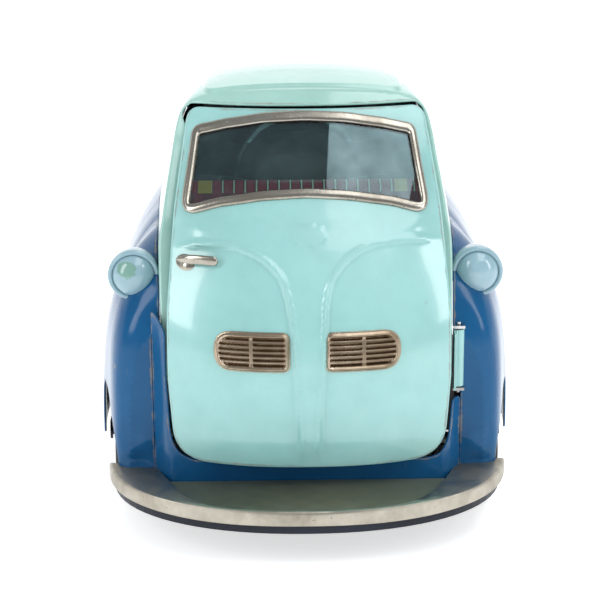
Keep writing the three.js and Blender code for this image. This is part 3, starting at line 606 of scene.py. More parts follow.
def clear_sheet(name, tint):
    """Thin celluloid: see-through, a clean reflection, faint haze and hairline scratches."""
    material, make, shader, where = new_material(name)
    haze = noise(make, where, 120, 4, 0.6)
    hairline = streaks(make, where, (1500.0, 1500.0, 90.0), (0.2, 0.9, 0.3), 0.76, 0.78)
    dirt = maths(make, "MAXIMUM", hairline, maths(make, "MULTIPLY", haze, 0.07))
    plug(shader, {
        "Base Color": ramp(make, haze, (0.3, dimmed(tint, 0.6)), (0.7, tint)),
        "Roughness": spread(make, dirt, 0.02, 0.25),
        "Metallic": 1,
        "Normal": bump(make, noise(make, where, 30, 2, 0.5), 0.06, 0.0006),
    })
    clear = make("ShaderNodeBsdfTransparent", Color=(0.62, 0.8, 0.78, 1))
    facing = make("ShaderNodeFresnel", IOR=1.5).outputs[0]
    share = spread(make, maths(make, "ADD", facing, maths(make, "MULTIPLY", haze, 0.04)), 0.03, 1.0)
    both = make("ShaderNodeMixShader", _0=share, _1=clear.outputs[0], _2=shader.outputs[0])
    plug(material.node_tree.nodes["Material Output"], {"Surface": both.outputs[0]})
    return material


def printed_tin(name):
    """The seat: crimson cloth print with a banded edge along the top of its back. The print also feeds a
    faint glow, a painted light that brightens the seat though it is no lamp.
    """
    crimson, ink, cream = rgb(176, 32, 58), rgb(30, 22, 26), rgb(238, 226, 206)
    material, make, shader, where = new_material(name)
    axes = make("ShaderNodeSeparateXYZ", Vector=where)
    x = maths(make, "MULTIPLY", axes.outputs[0], 1000)
    z = maths(make, "MULTIPLY", axes.outputs[2], 1000)
    phase = maths(make, "FRACT", maths(make, "DIVIDE", maths(make, "ADD", x, 100), 2.7), 0.0)
    blocks = stripes(make, phase, (0.0, cream), (0.09, ink), (0.15, crimson), (0.82, crimson), (0.88, ink),
                     (0.96, cream))
    across = maths(make, "DIVIDE", maths(make, "ADD", x, 30), 60)
    ends = stripes(make, across, (0.0, grey(0)), (0.083, grey(1)), (0.14, grey(0)), (0.87, grey(1)),
                   (0.92, grey(0)))
    band = mix(make, ends, blocks, rgb(226, 178, 62))
    weave = make("ShaderNodeTexWave", {"wave_type": "BANDS", "bands_direction": "X"}, Vector=where,
                 Scale=70.0, Distortion=0.4)
    cloth = ramp(make, weave.outputs["Fac"], (0.2, rgb(128, 26, 44)), (0.8, rgb(164, 40, 60)))
    top = stripes(make, maths(make, "DIVIDE", z, 100), (0.0, grey(0)), (0.597, grey(1)), (0.63, grey(0)))
    worn = fade(make, noise(make, where, 240, 4, 0.7), 0.63, 0.7, 0, 0.7)
    colour = mix(make, worn, mix(make, top, cloth, band), rgb(96, 84, 70))
    plug(shader, {
        "Base Color": colour,
        # Painted light: the print's colour is also emitted, so the seat glows faintly though it is no lamp.
        "Emission Color": colour,
        "Emission Strength": 0.3,
        "Roughness": 0.32,
        "Coat Weight": 0.3,
        "Normal": bump(make, noise(make, where, 300, 3, 0.5), 0.12, 0.0002),
    })
    return material


LAMP_TONES = (rgb(146, 178, 190), rgb(134, 166, 176), rgb(160, 190, 200))
LAMP_PATCH = ((-0.0384, -0.0538, 0.0572), 0.0026, rgb(120, 160, 148))

TURQUOISE = enamel("turquoise_enamel", rgb(148, 199, 196), rgb(136, 188, 184), rgb(162, 208, 204))
SEAFOAM = enamel("seafoam_enamel", rgb(158, 200, 190), rgb(144, 188, 176), rgb(174, 210, 200))
BLUE = enamel("blue_enamel", rgb(16, 82, 128), rgb(8, 68, 114), rgb(26, 92, 138),
              roughness=0.13, coat=0.06, shine=0.22)
LAMP = enamel("lamp_enamel", *LAMP_TONES, chips=0.6)
WORN_LAMP = enamel("worn_lamp_enamel", *LAMP_TONES, chips=0.6, patch=LAMP_PATCH)
NAVY = enamel("navy_enamel", rgb(14, 20, 34), rgb(9, 14, 26), rgb(24, 32, 48),
              roughness=0.35, coat=0.1, shine=0.25)
GREEN = enamel("inner_green", rgb(16, 50, 48), rgb(10, 38, 36), rgb(26, 62, 58), roughness=0.45, wear=0.3)
TRAY = enamel("tray_green", rgb(86, 92, 76), rgb(70, 77, 64), rgb(102, 106, 88), roughness=0.35, wear=0.4)
NICKEL = plated("aged_nickel", (0.44, 0.41, 0.355, 1), (0.25, 0.22, 0.18, 1), 0.2)
BUMPER = plated("bumper_nickel", (0.46, 0.425, 0.36, 1), (0.31, 0.28, 0.225, 1), 0.36)
GRILLE = plated("vent_nickel", (0.46, 0.37, 0.28, 1), (0.22, 0.16, 0.1, 1), 0.24)
STEEL = plated("plain_steel", (0.55, 0.55, 0.55, 1), (0.33, 0.32, 0.31, 1), 0.34)
BRASS = plated("gear_brass", (0.72, 0.55, 0.24, 1), (0.42, 0.3, 0.12, 1), 0.3)
IRON = plated("flywheel_iron", (0.27, 0.27, 0.28, 1), (0.14, 0.13, 0.13, 1), 0.5)
RUBBER = plain("tyre_rubber", rgb(40, 40, 42), rgb(26, 26, 27), 0.72, 220.0, 0.3)
RED = plain("red_lens", rgb(176, 28, 22), rgb(130, 16, 14), 0.14, 60.0, 0.05, 0.8)
PANE = clear_sheet("celluloid", rgb(214, 232, 240))
SELF_LIT_PRINT = printed_tin("seat_print_self_lit")


# ------------------------------------------------------------------ surfaces of the pressings

door_profile = curve_through(DOOR_PROFILE)
roof_front = curve_through(ROOF_FRONT)
cabin_half = curve_through(CABIN_HALF_WIDTH)
skirt_half = curve_through(SKIRT_HALF_WIDTH)
skirt_high = curve_through(SKIRT_HEIGHT)


def door_y(x, z):
    return door_profile(z) + DOOR_BOW * (np.abs(x - DOOR_CENTRE_X) / 30) ** 2.4


def roof_height(y):
    apex_y, apex_z = ROOF_APEX
    tail = CABIN_BASE + (apex_z - CABIN_BASE) * tailing((y - apex_y) / (CABIN_TAIL - apex_y), 1.8)
    return np.where(y < apex_y, roof_front(y), tail)


def cabin_half_width(y):
    return np.where(y < 76, cabin_half(y), 33.3 * tailing((y - 76) / (CABIN_TAIL - 76), 2.6))


def skirt_half_width(y):
    return np.where(y < 72, skirt_half(y), 47.2 * tailing((y - 72) / (SKIRT_TAIL - 72), 2.4))


def skirt_height(y):
    return np.where(y < 75, skirt_high(y), 63 * tailing((y - 75) / (SKIRT_TAIL - 75), 3))


def header_y(x):
    """Where the roof starts, just behind the door's upper edge."""
    return door_y(x, DOOR_TOP) + 0.1


def bisect(test, low, high, steps=44):
    """Vectorised root of a test that is negative at low and positive at high."""
    low, high = np.array(low, float), np.array(high, float)
    for _ in range(steps):
        middle = (low + high) / 2
        above = test(middle) > 0
        high = np.where(above, middle, high)
        low = np.where(above, low, middle)
    return (low + high) / 2


def length_table(y, *tracks):
    """Arc length of a curve given by its y stations and other coordinates."""
    steps = np.sqrt(sum(np.diff(track) ** 2 for track in (y, *tracks)))
    return np.r_[0, np.cumsum(steps)]


# The cabin: u runs back along the roof line, v round the section from the roof's middle.
CABIN_Y = np.r_[
    np.linspace(16, 100, 8000),
    100 + (CABIN_TAIL - 1e-4 - 100) * (1 - np.linspace(1, 0, 12000)[1:] ** 3),
]
CABIN_K = length_table(CABIN_Y, roof_height(CABIN_Y))
SECTION_V, SECTION_U = np.array(CABIN_SECTION, float)[::-1].T
SECTION_S = np.r_[0, np.cumsum(np.hypot(np.diff(SECTION_U) * 33.3, np.diff(SECTION_V) * 64))]
SECTION_LENGTH = SECTION_S[-1]


def both_sides(values, sign):
    """A smooth function of section length, from one side's values and their mirror image."""
    length = np.r_[-SECTION_S[::-1], SECTION_S[1:]]
    return curve_through(np.column_stack([length, np.r_[sign * values[::-1], values[1:]]]))

section_v = both_sides(SECTION_V, 1)
section_u = both_sides(SECTION_U, -1)
section_front = both_sides(np.array(FRONT_SECTION, float)[::-1, 1], -1)


def cabin_point(y, s, offset=0.0):
    """Station point of the cabin surface, grown by an offset, at station y and section length s."""
    v = np.minimum(section_v(s), 1)
    egg = smoothstep(72, 112, y)
    u = (1 - egg) * section_u(s) + egg * np.sign(s) * np.maximum(0, 1 - v ** 2.4) ** (1 / 2.4)
    u = u + (section_front(s) - section_u(s)) * (1 - smoothstep(44, 68, y))
    x = (cabin_half_width(y) + offset) * u
    z = CABIN_BASE + (roof_height(y) + offset - CABIN_BASE) * v
    header = DOOR_TOP + 0.3 + offset + HEADER_SLOPE * (y - header_y(x))
    return x, np.where(y < 60, -0.45 * np.logaddexp(-z / 0.45, -header / 0.45), z)


def section_length(y, z):
    """Section length at which the cabin surface has the height z at station y."""
    share = (z - CABIN_BASE) / (roof_height(y) - CABIN_BASE)
    size = np.shape(y)
    return bisect(lambda s: share - section_v(s), np.zeros(size), np.full(size, SECTION_LENGTH))


def cabin_k(y):
    return np.interp(y, CABIN_Y, CABIN_K)


ROOF_PANEL = rounded([(-22, 50.8, 4), (22, 50.8, 4), (21, 98, 6), (-21, 98, 6)])


def signed_distance(points, loop):
    """Distance to a closed loop, negative inside it."""
    gap = distance_to(points, loop)
    return np.where(inside(points, loop), -gap, gap)


def cabin_place(uv, depth=0.0, relief=True):
    y = np.interp(uv[:, 0], CABIN_K, CABIN_Y)
    x, z = cabin_point(y, uv[:, 1], -depth)
    if relief:
        near = (y < 102) & (np.abs(x) < 26)
        lift = np.zeros(len(y))
        if near.any():
            away = signed_distance(np.column_stack([x[near], y[near]]), ROOF_PANEL)
            lift[near] = 0.62 * (1 - smoothstep(-0.5, 0.15, away))
        z = z + lift
    return np.column_stack([x, y, z])


def cabin_uv(y, s):
    return np.column_stack([cabin_k(y), s])


def roof_uv(loop):
    """(x, y) points on the roof as surface coordinates."""
    x, y = loop.T
    s = bisect(lambda t: cabin_point(y, t)[0] - np.abs(x), np.zeros(len(x)), np.full(len(x), 30.0))
    return cabin_uv(y, s * np.sign(x))


def side_uv(loop, side):
    """(y, z) points on the cabin's side as surface coordinates."""
    y, z = loop.T
    return cabin_uv(y, side * section_length(y, z))


def rear_uv(loop):
    """(x, z) points on the cabin's tail as surface coordinates."""
    x, z = loop.T

    def beyond(y):
        s = section_length(y, np.minimum(z, roof_height(y) - 1e-6))
        wide = np.where(z < roof_height(y), cabin_point(y, s)[0], 0)
        return np.abs(x) - wide

    y = bisect(beyond, np.full(len(x), 92.0), np.full(len(x), CABIN_TAIL - 0.001))
    return cabin_uv(y, np.sign(x) * section_length(y, z))


def trim_line(y):
    """Height of the cabin's lower edge."""
    return np.interp(y, *np.array(CABIN_TRIM, float).T)


def cabin_outline():
    """The cabin shell's outline: front edge behind the door, lower edges, and the tail."""
    def front(x, z):
        behind = door_y(x, np.minimum(z, DOOR_TOP)) + 2.9
        return behind - 1.7 * smoothstep(78, 86, z) - 1.1 * smoothstep(87.2, 88.7, z)

    def corner_gap(y):
        z = trim_line(y)
        x, _ = cabin_point(y, section_length(y, z))
        return y - front(x, z)

    corner = float(bisect(corner_gap, [18.0], [40.0])[0])
    end = float(bisect(lambda y: trim_line(y) - roof_height(y), [130.0], [CABIN_TAIL - 1e-3])[0])
    k = np.linspace(float(cabin_k(corner)), float(cabin_k(end)), 160)
    y = np.interp(k, CABIN_K, CABIN_Y)
    s = section_length(y, np.minimum(trim_line(y), roof_height(y) - 1e-4))
    s[-1] = 0
    across = np.linspace(-s[0], s[0], 140)[1:-1]

    def gap(y):
        x, z = cabin_point(y, across)
        return y - front(x, z)

    front_y = bisect(gap, np.full(len(across), 16.5), np.full(len(across), 60.0))
    return np.vstack([
        cabin_uv(front_y, across),
        np.column_stack([k, s]),
        np.column_stack([k, -s])[::-1][1:],
    ])


SIDE_WINDOW = rounded([(52, 69.5, 3), (98, 69.5, 3), (90, 80.5, 7), (58, 84, 5)])
REAR_WINDOW = rounded([(-19, 61, 5), (19, 61, 5), (16, 77.5, 7), (-16, 77.5, 7)])


def build_cabin():
    hole = hem(TIN)
    short, deep = turned_in(TIN, 0.3, 0.42), turned_in(TIN, 0.55, 2.9)
    edge = (short, deep, lambda p: (1 - smoothstep(84, 88, p[:, 2])) * (1 - smoothstep(45, 52, p[:, 1])))
    windows = [side_uv(SIDE_WINDOW, 1), side_uv(SIDE_WINDOW, -1), rear_uv(REAR_WINDOW)]
    roof = resampled(ROOF_PANEL, 0.8)
    creases = [roof_uv(grown(roof, d)) for d in (-0.8, -0.35, 0.1, 0.45)]
    obj = sheet(
        "cabin_shell", cabin_place, [cabin_outline(), *windows], [edge, hole, hole, hole], TIN,
        SPACING * 1.15, outward=-1, creases=creases,
    )
    finish(obj, "body", "upper_body_shell", SEAFOAM, GREEN)
    for name, loop in (("side_window_left", windows[0]), ("side_window_right", windows[1]),
                       ("rear_window", windows[2])):
        pane = sheet(name + "_pane", lambda uv: cabin_place(uv, 0.62, False), [grown(ccw(loop, 0.8), 1.3)],
                     [hem(0.3)], 0.3, SPACING * 2, outward=-1)
        finish(pane, "body", name, PANE)


def finish(obj, body, node, *materials):
    """Gives a piece its materials, its body and the CAD node that it stands for."""
    for material in materials:
        obj.data.materials.append(material)
    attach(obj, body)
    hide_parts(node)


# ------------------------------------------------------------------ the blue shell

SKIRT_REACH = 55.0                # section length per radian
CAP_WIDTH, CAP_HEIGHT = 38.5, 38  # half width and height of the fenders' flat front
SKIRT_Y = np.r_[
    np.linspace(SKIRT_FRONT, 32, 4000),
    np.linspace(32, 140, 8000)[1:],
    140 + (SKIRT_TAIL - 1e-3 - 140) * (1 - np.linspace(1, 0, 12000)[1:] ** 3),
]
SKIRT_K = length_table(SKIRT_Y, skirt_half_width(SKIRT_Y), skirt_height(SKIRT_Y))


def skirt_ring(y, angle):
    """x and z of the blue shell's section at an angle from its lower left edge."""
    power = 5 - 2.5 * smoothstep(30, 60, y)
    c, s = np.cos(angle), np.sin(angle)
    r = (np.abs(c) ** power + np.abs(s) ** power) ** (-1 / power)
    return skirt_half_width(y) * r * c, SKIRT_BOTTOM + skirt_height(y) * r * s


def dents(x, z):
    """Soft dents in the lower front of the fenders, as depth in mm."""
    marks = [(-36.5, 15.5, 3.2, 2.2, 0.5), (-38.5, 21, 2.2, 2.8, 0.3), (37, 14.6, 3.4, 2, 0.45),
             (39.4, 19.5, 2.2, 3, 0.3), (35.2, 19.8, 1.6, 1.6, -0.2), (-34.8, 20.4, 1.6, 1.6, -0.2)]
    return sum(d * np.exp(-((x - cx) / a) ** 2 - ((z - cz) / b) ** 2) for cx, cz, a, b, d in marks)


def skirt_place(uv):
    k, s = uv.T
    angle = math.pi / 2 - s / SKIRT_REACH
    y = np.interp(np.maximum(k, 0), SKIRT_K, SKIRT_Y)
    x, z = skirt_ring(y, angle)
    share = 1 + np.minimum(k, 0) / CAP_WIDTH
    x = x * share
    z = SKIRT_BOTTOM + (z - SKIRT_BOTTOM) * share
    return np.column_stack([x, y + 2 * dents(x, z) * (y < 30), z])


def skirt_uv(y, z):
    """(y, z) points on the blue shell's left side as surface coordinates."""
    angle = bisect(lambda a: skirt_ring(y, a)[1] - z, np.zeros(len(y)), np.full(len(y), math.pi / 2))
    return np.column_stack([np.interp(y, SKIRT_Y, SKIRT_K), SKIRT_REACH * (math.pi / 2 - angle)])


def cap_uv(x, z):
    """(x, z) points on the flat fender front as surface coordinates."""
    u, v = x / CAP_WIDTH, (z - SKIRT_BOTTOM) / CAP_HEIGHT
    angle = np.arctan2(v, u)
    r = (np.abs(np.cos(angle)) ** 5 + np.abs(np.sin(angle)) ** 5) ** -0.2
    share = np.hypot(u, v) / r
    return np.column_stack([CAP_WIDTH * (share - 1), SKIRT_REACH * (math.pi / 2 - angle)])


def skirt_outline():
    """The left half of the blue shell's outline, from the tail round to the tail's top."""
    inner = 33.2  # x of the fender front's inner edge
    fit = 0.4     # gap between this shell and the cabin

    def arch(axle_y):
        base = math.asin((WHEEL_RADIUS - SKIRT_BOTTOM) / ARCH_RADIUS)
        angle = np.linspace(math.pi + base, -base, 40)
        y = axle_y + ARCH_RADIUS * np.cos(angle)
        return np.column_stack([y, WHEEL_RADIUS + ARCH_RADIUS * np.sin(angle)])

    def bottom(a, b, count):
        y = np.linspace(a, b, count)
        return np.column_stack([np.interp(y, SKIRT_Y, SKIRT_K), np.full(count, SKIRT_REACH * math.pi / 2)])

    front = arch(FRONT_AXLE_Y)
    rear = arch(REAR_AXLE_Y)
    low = np.vstack([
        cap_uv(np.linspace(inner, 38.4, 8), np.full(8, SKIRT_BOTTOM)),
        bottom(24.6, front[0, 0], 4)[:-1],
        skirt_uv(*front.T),
        bottom(front[-1, 0], rear[0, 0], 60)[1:-1],
        skirt_uv(*rear.T),
    ])
    k_end = SKIRT_K[-1]
    k = np.linspace(low[-1, 0], k_end, 26)[1:]
    low = np.vstack([low, np.column_stack([k, np.full(len(k), SKIRT_REACH * math.pi / 2)])])

    def meets(y):
        """Angle at which the blue shell's section meets the cabin, grown by its clearance."""
        def clear(angle):
            x, z = skirt_ring(y, angle)
            s = section_length(y, np.clip(z - fit, CABIN_BASE, roof_height(y) - 1e-6))
            wide = cabin_point(y, s)[0] + fit
            wide = np.where(z > roof_height(y) + fit, 0, wide)
            return wide - x
        return bisect(clear, np.full(len(y), 0.05), np.full(len(y), math.pi / 2))

    def above_roof(y):
        return SKIRT_BOTTOM + skirt_height(y) - roof_height(y) - fit

    top_end = float(bisect(above_roof, [130.0], [155.0])[0])
    k = np.linspace(float(np.interp(top_end, SKIRT_Y, SKIRT_K)), 0, 120)
    y = np.interp(k, SKIRT_K, SKIRT_Y)
    angle = meets(y)
    angle[0] = math.pi / 2
    high = np.column_stack([k, SKIRT_REACH * (math.pi / 2 - angle)])
    x_in, z_in = skirt_ring(y[-1:], angle[-1:])
    z = np.linspace(float(z_in[0]) - 0.5, SKIRT_BOTTOM + 0.5, 30)
    x = float(x_in[0]) + (inner - float(x_in[0])) * smoothstep(45, 42, z)
    inside_edge = cap_uv(np.maximum(x, inner), z)
    return low, high, inside_edge


def build_skirt():
    low, high, inside_edge = skirt_outline()
    flip = np.array([1, -1])
    tail = np.column_stack([np.full(40, SKIRT_K[-1]), np.linspace(low[-1, 1], -low[-1, 1], 42)[1:-1]])
    outline = np.vstack([
        low, tail, (low * flip)[::-1], (inside_edge * flip)[::-1], (high * flip)[::-1], high[1:], inside_edge,
    ])
    obj = sheet("skirt_shell", skirt_place, [outline], [hem(TIN)], 0.5, SPACING * 1.25, outward=-1)
    finish(obj, "body", "lower_body_shell", BLUE, GREEN)


def build_valance():
    """The strip below the door, with its ends turned back beside the door."""
    def place(uv):
        x, z = uv.T
        return np.column_stack([x, 19.3 + 5.2 * smoothstep(28.6, 34.4, np.abs(x)) * 1.22, z])

    outline = rounded([
        (-32.95, 10.7, 0.3), (32.95, 10.7, 0.3), (32.95, 29.4, 0.5), (31.3, 29.4, 0.5), (30.2, 17.1, 8.2),
        (-29.2, 17.1, 8.2), (-30.2, 36, 30), (-30.2, 46, 1), (-32.95, 50, 0.5),
    ])
    obj = sheet("front_valance", place, [outline], [hem(TIN)], 0.5, SPACING * 0.9)
    finish(obj, "body", "lower_body_shell", BLUE, GREEN)


# ------------------------------------------------------------------ the door

DOOR_OUTLINE = rounded([
    (-28.6, 17.5, 8), (29.6, 17.5, 8), (30.8, 36, 40), (30.8, 50, 60), (29.2, 70, 60), (26.4, 88.7, 3.4),
    (14, 88.9, 30), (-13, 88.9, 30), (-25.4, 88.7, 3.4), (-28.2, 70, 60), (-29.8, 50, 60), (-29.8, 36, 40),
])
WINDSHIELD_OUTER = rounded([
    (-26.7, 68.2, 2.8), (-18, 70.8, 20), (-9, 72.2, 40), (0, 72.7, 40), (9, 72.2, 40), (18, 70.8, 20),
    (26.7, 68.2, 2.8), (25, 78, 40), (24, 84.8, 2.6), (17, 86.4, 20), (9, 87.6, 30), (0, 88, 40),
    (-9, 87.6, 30), (-17, 86.4, 20), (-24, 84.8, 2.6), (-25, 78, 40),
])
VENT_OUTLINE = rounded([(3.7, 40, 1.6), (19.4, 40, 3.9), (19.4, 48, 3.9), (3.7, 48, 1.6)])
CHEEK_RIGHT = np.array([
    (30, 63.8), (26.3, 64.1), (21.1, 64.6), (16.8, 64.6), (12.6, 63.9), (8.4, 61.7), (5.2, 58.1), (4, 54.4),
    (3.6, 48.6), (3.3, 42.6), (2.6, 34), (2.4, 26), (2.4, 16),
])
CHEEK_LEFT = np.array([
    (-30, 62.8), (-26.3, 63.1), (-22.9, 63.8), (-16.6, 64.1), (-12.4, 63.3), (-8.2, 61.3), (-5.1, 58.1),
    (-3.7, 54.4), (-2.8, 48.6), (-2.4, 42.5), (-1.8, 34), (-1.5, 26), (-1.5, 16),
])


def smooth_line(points, count=70):
    """A dense smooth line through points."""
    length = np.r_[0, np.cumsum(np.hypot(*np.diff(points, axis=0).T))]
    at = np.linspace(0, length[-1], count)
    return np.column_stack([curve_through(np.column_stack([length, points[:, k]]))(at) for k in (0, 1)])


CHEEK_LINES = [smooth_line(CHEEK_RIGHT), smooth_line(CHEEK_LEFT)]


def door_relief(x, z):
    """How far the door's pressed lines stand out, in mm."""
    points = np.column_stack([x, z])
    lift = np.zeros(len(x))
    raised = np.ones(len(x))
    for line, side in zip(CHEEK_LINES, (1, -1)):
        gap = distance_to(points, line, closed=False)
        cheek = np.vstack([line, [(side * 2.4, 0), (side * 60, 0), (side * 60, 63.4)]])
        signed = np.where(inside(points, cheek), -gap, gap)
        raised *= smoothstep(-0.9, 0.5, signed)
        lift = np.maximum(lift, 0.55 * np.exp(-((signed - 0.1) / 0.62) ** 2))
    fade = smoothstep(18.5, 25, z) * (1 - smoothstep(22, 28.5, np.abs(x - EMBOSS_CENTRE_X)))
    top_fade = 1 - smoothstep(66.5, 69.5, z)
    badge = 0.22 * (1 - smoothstep(0.86, 1.0, np.hypot((x - 0.5) / 4.2, (z - 66.2) / 2.0)))
    return (lift + 0.55 * raised * top_fade) * fade + badge


def door_place(uv, depth=0.0, relief=True):
    x, z = uv.T
    lift = door_relief(x, z) if relief else 0
    return np.column_stack([x, door_y(x, z) + depth - lift, z])


def build_door():
    flip = np.array([-1, 1])
    lips = 0.75
    vents = [grown(ccw(VENT_OUTLINE), -0.5), grown(ccw(VENT_OUTLINE * flip), -0.5)]
    opening = grown(ccw(WINDSHIELD_OUTER), -0.8)
    obj = sheet(
        "door_skin", door_place, [grown(ccw(DOOR_OUTLINE), -lips), opening, *vents],
        [turned_in(TIN, lips, DOOR_DEPTH), hem(TIN), hem(TIN), hem(TIN)], TIN, SPACING * 0.72,
    )
    finish(obj, "door", "door_panel", TURQUOISE, GREEN)

    pane = sheet("windshield_pane", lambda uv: door_place(uv, 0.12, False), [grown(opening, -0.08)],
                 [hem(0.3)], 0.3, SPACING * 2)
    finish(pane, "door", "windshield", PANE)
    build_windshield_frame()
    build_vent("vent_left", ccw(VENT_OUTLINE), 1, "vent_grille_left")
    build_vent("vent_right", ccw(VENT_OUTLINE * flip), -1, "vent_grille_right")
    build_handle()


def build_windshield_frame():
    outer = ccw(WINDSHIELD_OUTER, 0.6)
    width, height = 1.75, 0.85
    rows = []
    for a in np.linspace(0, math.pi, 11):
        rows.append((width / 2 * (1 - math.cos(a)), -0.02 + height * math.sin(a) ** 0.8))
    rows += [(width - 0.1, -0.35), (0.1, -0.06)]
    loops = []
    for across, lift in rows:
        uv = grown(outer, -across)
        normal = normals_of(lambda q: door_place(q, 0, False), uv)
        loops.append(door_place(uv, 0, False) + normal * lift)
    obj = grid_object("windshield_bead", loops, closed_u=True, closed_v=True)
    finish(obj, "door", "windshield_frame", NICKEL)


def build_vent(name, outline, side, node):
    """A pressed vent: a rounded rim, five bars and an upright between them."""
    def place(uv):
        x, z = uv.T
        gap = distance_to(uv, outline)
        rim = 0.62 * np.exp(-((gap - 0.62) / 0.42) ** 2)
        basin = smoothstep(0.95, 1.35, gap)
        bars = 0.5 - 0.5 * np.cos(2 * math.pi * (z - 41.36) / 1.056)
        bars = np.clip(1.25 * bars, 0, 1)
        upright = 1 - smoothstep(0.3, 0.62, np.abs(x - side * 11.7))
        depth = 0.18 + basin * (0.7 - 0.95 * np.maximum(bars, 0.85 * upright))
        return np.column_stack([x, door_y(x, z) + depth - 0.35 - rim, z])

    obj = sheet(name, place, [outline], [turned_in(0.3, 0.12, 0.5, 3)], 0.3, 0.2)
    finish(obj, "door", node, GRILLE, GRILLE)


def build_handle():
    rows = []
    count = 26
    for i in range(count + 1):
        t = i / count
        x = -27.3 + 9.0 * t
        z = 60.95 + 0.35 * t + 0.25 * math.sin(math.pi * t)
        fat = 0.12 + 0.9 * (1 - (1 - min(t / 0.35, 1)) ** 2)
        if t > 0.88:
            fat *= math.sqrt(max(0.0, 1 - ((t - 0.88) / 0.12) ** 2))
        fat = max(fat, 0.03)
        y = float(door_y(np.array([x]), np.array([z]))[0]) - 1.35 - 0.35 * math.sin(math.pi * t)
        ring = [(x, y - 0.62 * fat * math.sin(a), z + 1.05 * fat * math.cos(a))
                for a in np.linspace(0, 2 * math.pi, 24, endpoint=False)]
        rows.append(ring)
    lever = grid_object("handle_lever", rows, closed_u=True, cap=True)
    finish(lever, "door", "door_handle", NICKEL)
    boss = []
    for lift, r in ((-0.3, 1.5), (0.15, 1.5), (0.35, 1.3), (0.5, 0.85), (1.3, 0.7), (1.45, 0.4), (1.5, 0.02)):
        ring = []
        for a in np.linspace(0, 2 * math.pi, 32, endpoint=False):
            x, z = -25.3 + 1.35 * r * math.cos(a), 60.3 + r * math.sin(a)
            ring.append((x, float(door_y(np.array([x]), np.array([z]))[0]) - lift, z))
        boss.append(ring)
    finish(grid_object("handle_boss", boss, closed_u=True, cap=True), "door", "door_handle", NICKEL)


# ------------------------------------------------------------------ bumpers and lamps

def bumper_curve(d, end_y, count):
    power = 2.15
    span = math.acos((1 - (end_y - d) / (31 - d)) ** (power / 2))
    t = np.linspace(-1, 1, count)
    across = np.abs(np.sin(span * t)) ** (2 / power)
    back = 1 - np.cos(span * t) ** (2 / power)
    return np.column_stack([np.sign(t) * (43.4 - d) * across, d + (31 - d) * back])


def evenly(line, count):
    length = np.r_[0, np.cumsum(np.hypot(*np.diff(line, axis=0).T))]
    at = np.linspace(0, length[-1], count)
    return np.column_stack([np.interp(at, length, line[:, k]) for k in (0, 1)])


BUMPER_LAND = np.array([
    (-32.4, 24.6), (-29.4, 17.1), (-26.2, 10.1), (-21.5, 4.9), (-15.9, 2.6), (-8, 1.5), (0, 1.3), (8, 1.5),
    (16.2, 2.8), (23.1, 6.7), (28.1, 14.4), (32.1, 24.6),
])


def build_front_bumper():
    """The plated rim, whose shelf widens towards its ends, and the tray inside it."""
    count = 150
    outer = evenly(bumper_curve(0, 28, 400), count)
    land = evenly(smooth_line(BUMPER_LAND, 400), count)
    inward = land - outer
    width = np.hypot(*inward.T)
    inward /= width[:, None]
    face = [(0.4, 10.35), (0.12, 10.45), (0, 10.75), (0, 12.9), (0.1, 13.3), (0.35, 13.55), (0.7, 13.6)]
    lip = [(-0.32, 13.6), (-0.1, 13.5), (0, 13.25), (0.05, 12.95), (0.3, 12.75), (0.3, 12.2)]
    section = [(np.full(count, float(step)), z) for step, z in face]
    section.append((np.maximum(width * 0.5, 0.75), 13.6))
    section += [(np.maximum(width, 1.15) + step, z) for step, z in lip]
    section += [(np.full(count, 1.2), 12.2), (np.full(count, 0.9), 10.35)]
    rows = [np.column_stack([outer + inward * step[:, None], np.full(count, z)]) for step, z in section]
    obj = grid_object("bumper_rim", rows, closed_v=True)
    clean_up(obj, close_ends=True)
    finish(obj, "body", "front_bumper", BUMPER)

    edge = evenly(land + inward * 0.1, 90)
    back = np.array([(29.6, 18.9), (-29.6, 18.9)])
    tray = np.vstack([edge[(edge[:, 1] < 19.5)], back])

    def place(uv):
        x, y = uv.T
        return np.column_stack([x, y, 12.72 + 0.05 * np.sin(x * 0.9) * np.sin(y * 1.3)])

    pan = sheet("bumper_tray", place, [tray], [hem(0.4)], 0.4, SPACING * 1.4)
    finish(pan, "body", "front_bumper", TRAY, TRAY)


def build_rear_bumper():
    angles = np.linspace(-0.62, 0.62, 90)
    section = [(0, 13.5), (0, 18.5), (0.12, 18.85), (0.4, 19), (0.75, 18.8), (0.85, 18.4), (0.85, 13.6),
               (0.75, 13.2), (0.4, 13), (0.12, 13.15)]
    rows = []
    for inset, z in section:
        r = 54 - inset
        height = np.full(len(angles), float(z))
        rows.append(np.column_stack([r * np.sin(angles), 111 + r * np.cos(angles), height]))
    band = grid_object("rear_band", rows, closed_v=True)
    clean_up(band, close_ends=True)
    finish(band, "body", "rear_bumper", NICKEL)
    for name, x in (("rear_stay_left", 17.0), ("rear_stay_right", -17.0)):
        rows = []
        for y in (150.5, 156, 160, 161.2):
            rows.append([(x - 1.8, y, 15.3), (x + 1.8, y, 15.3), (x + 2, y, 15.5), (x + 2, y, 16.5),
                         (x + 1.8, y, 16.7), (x - 1.8, y, 16.7), (x - 2, y, 16.5), (x - 2, y, 15.5)])
        finish(grid_object(name, rows, closed_u=True, cap=True), "body", "rear_bumper", STEEL)


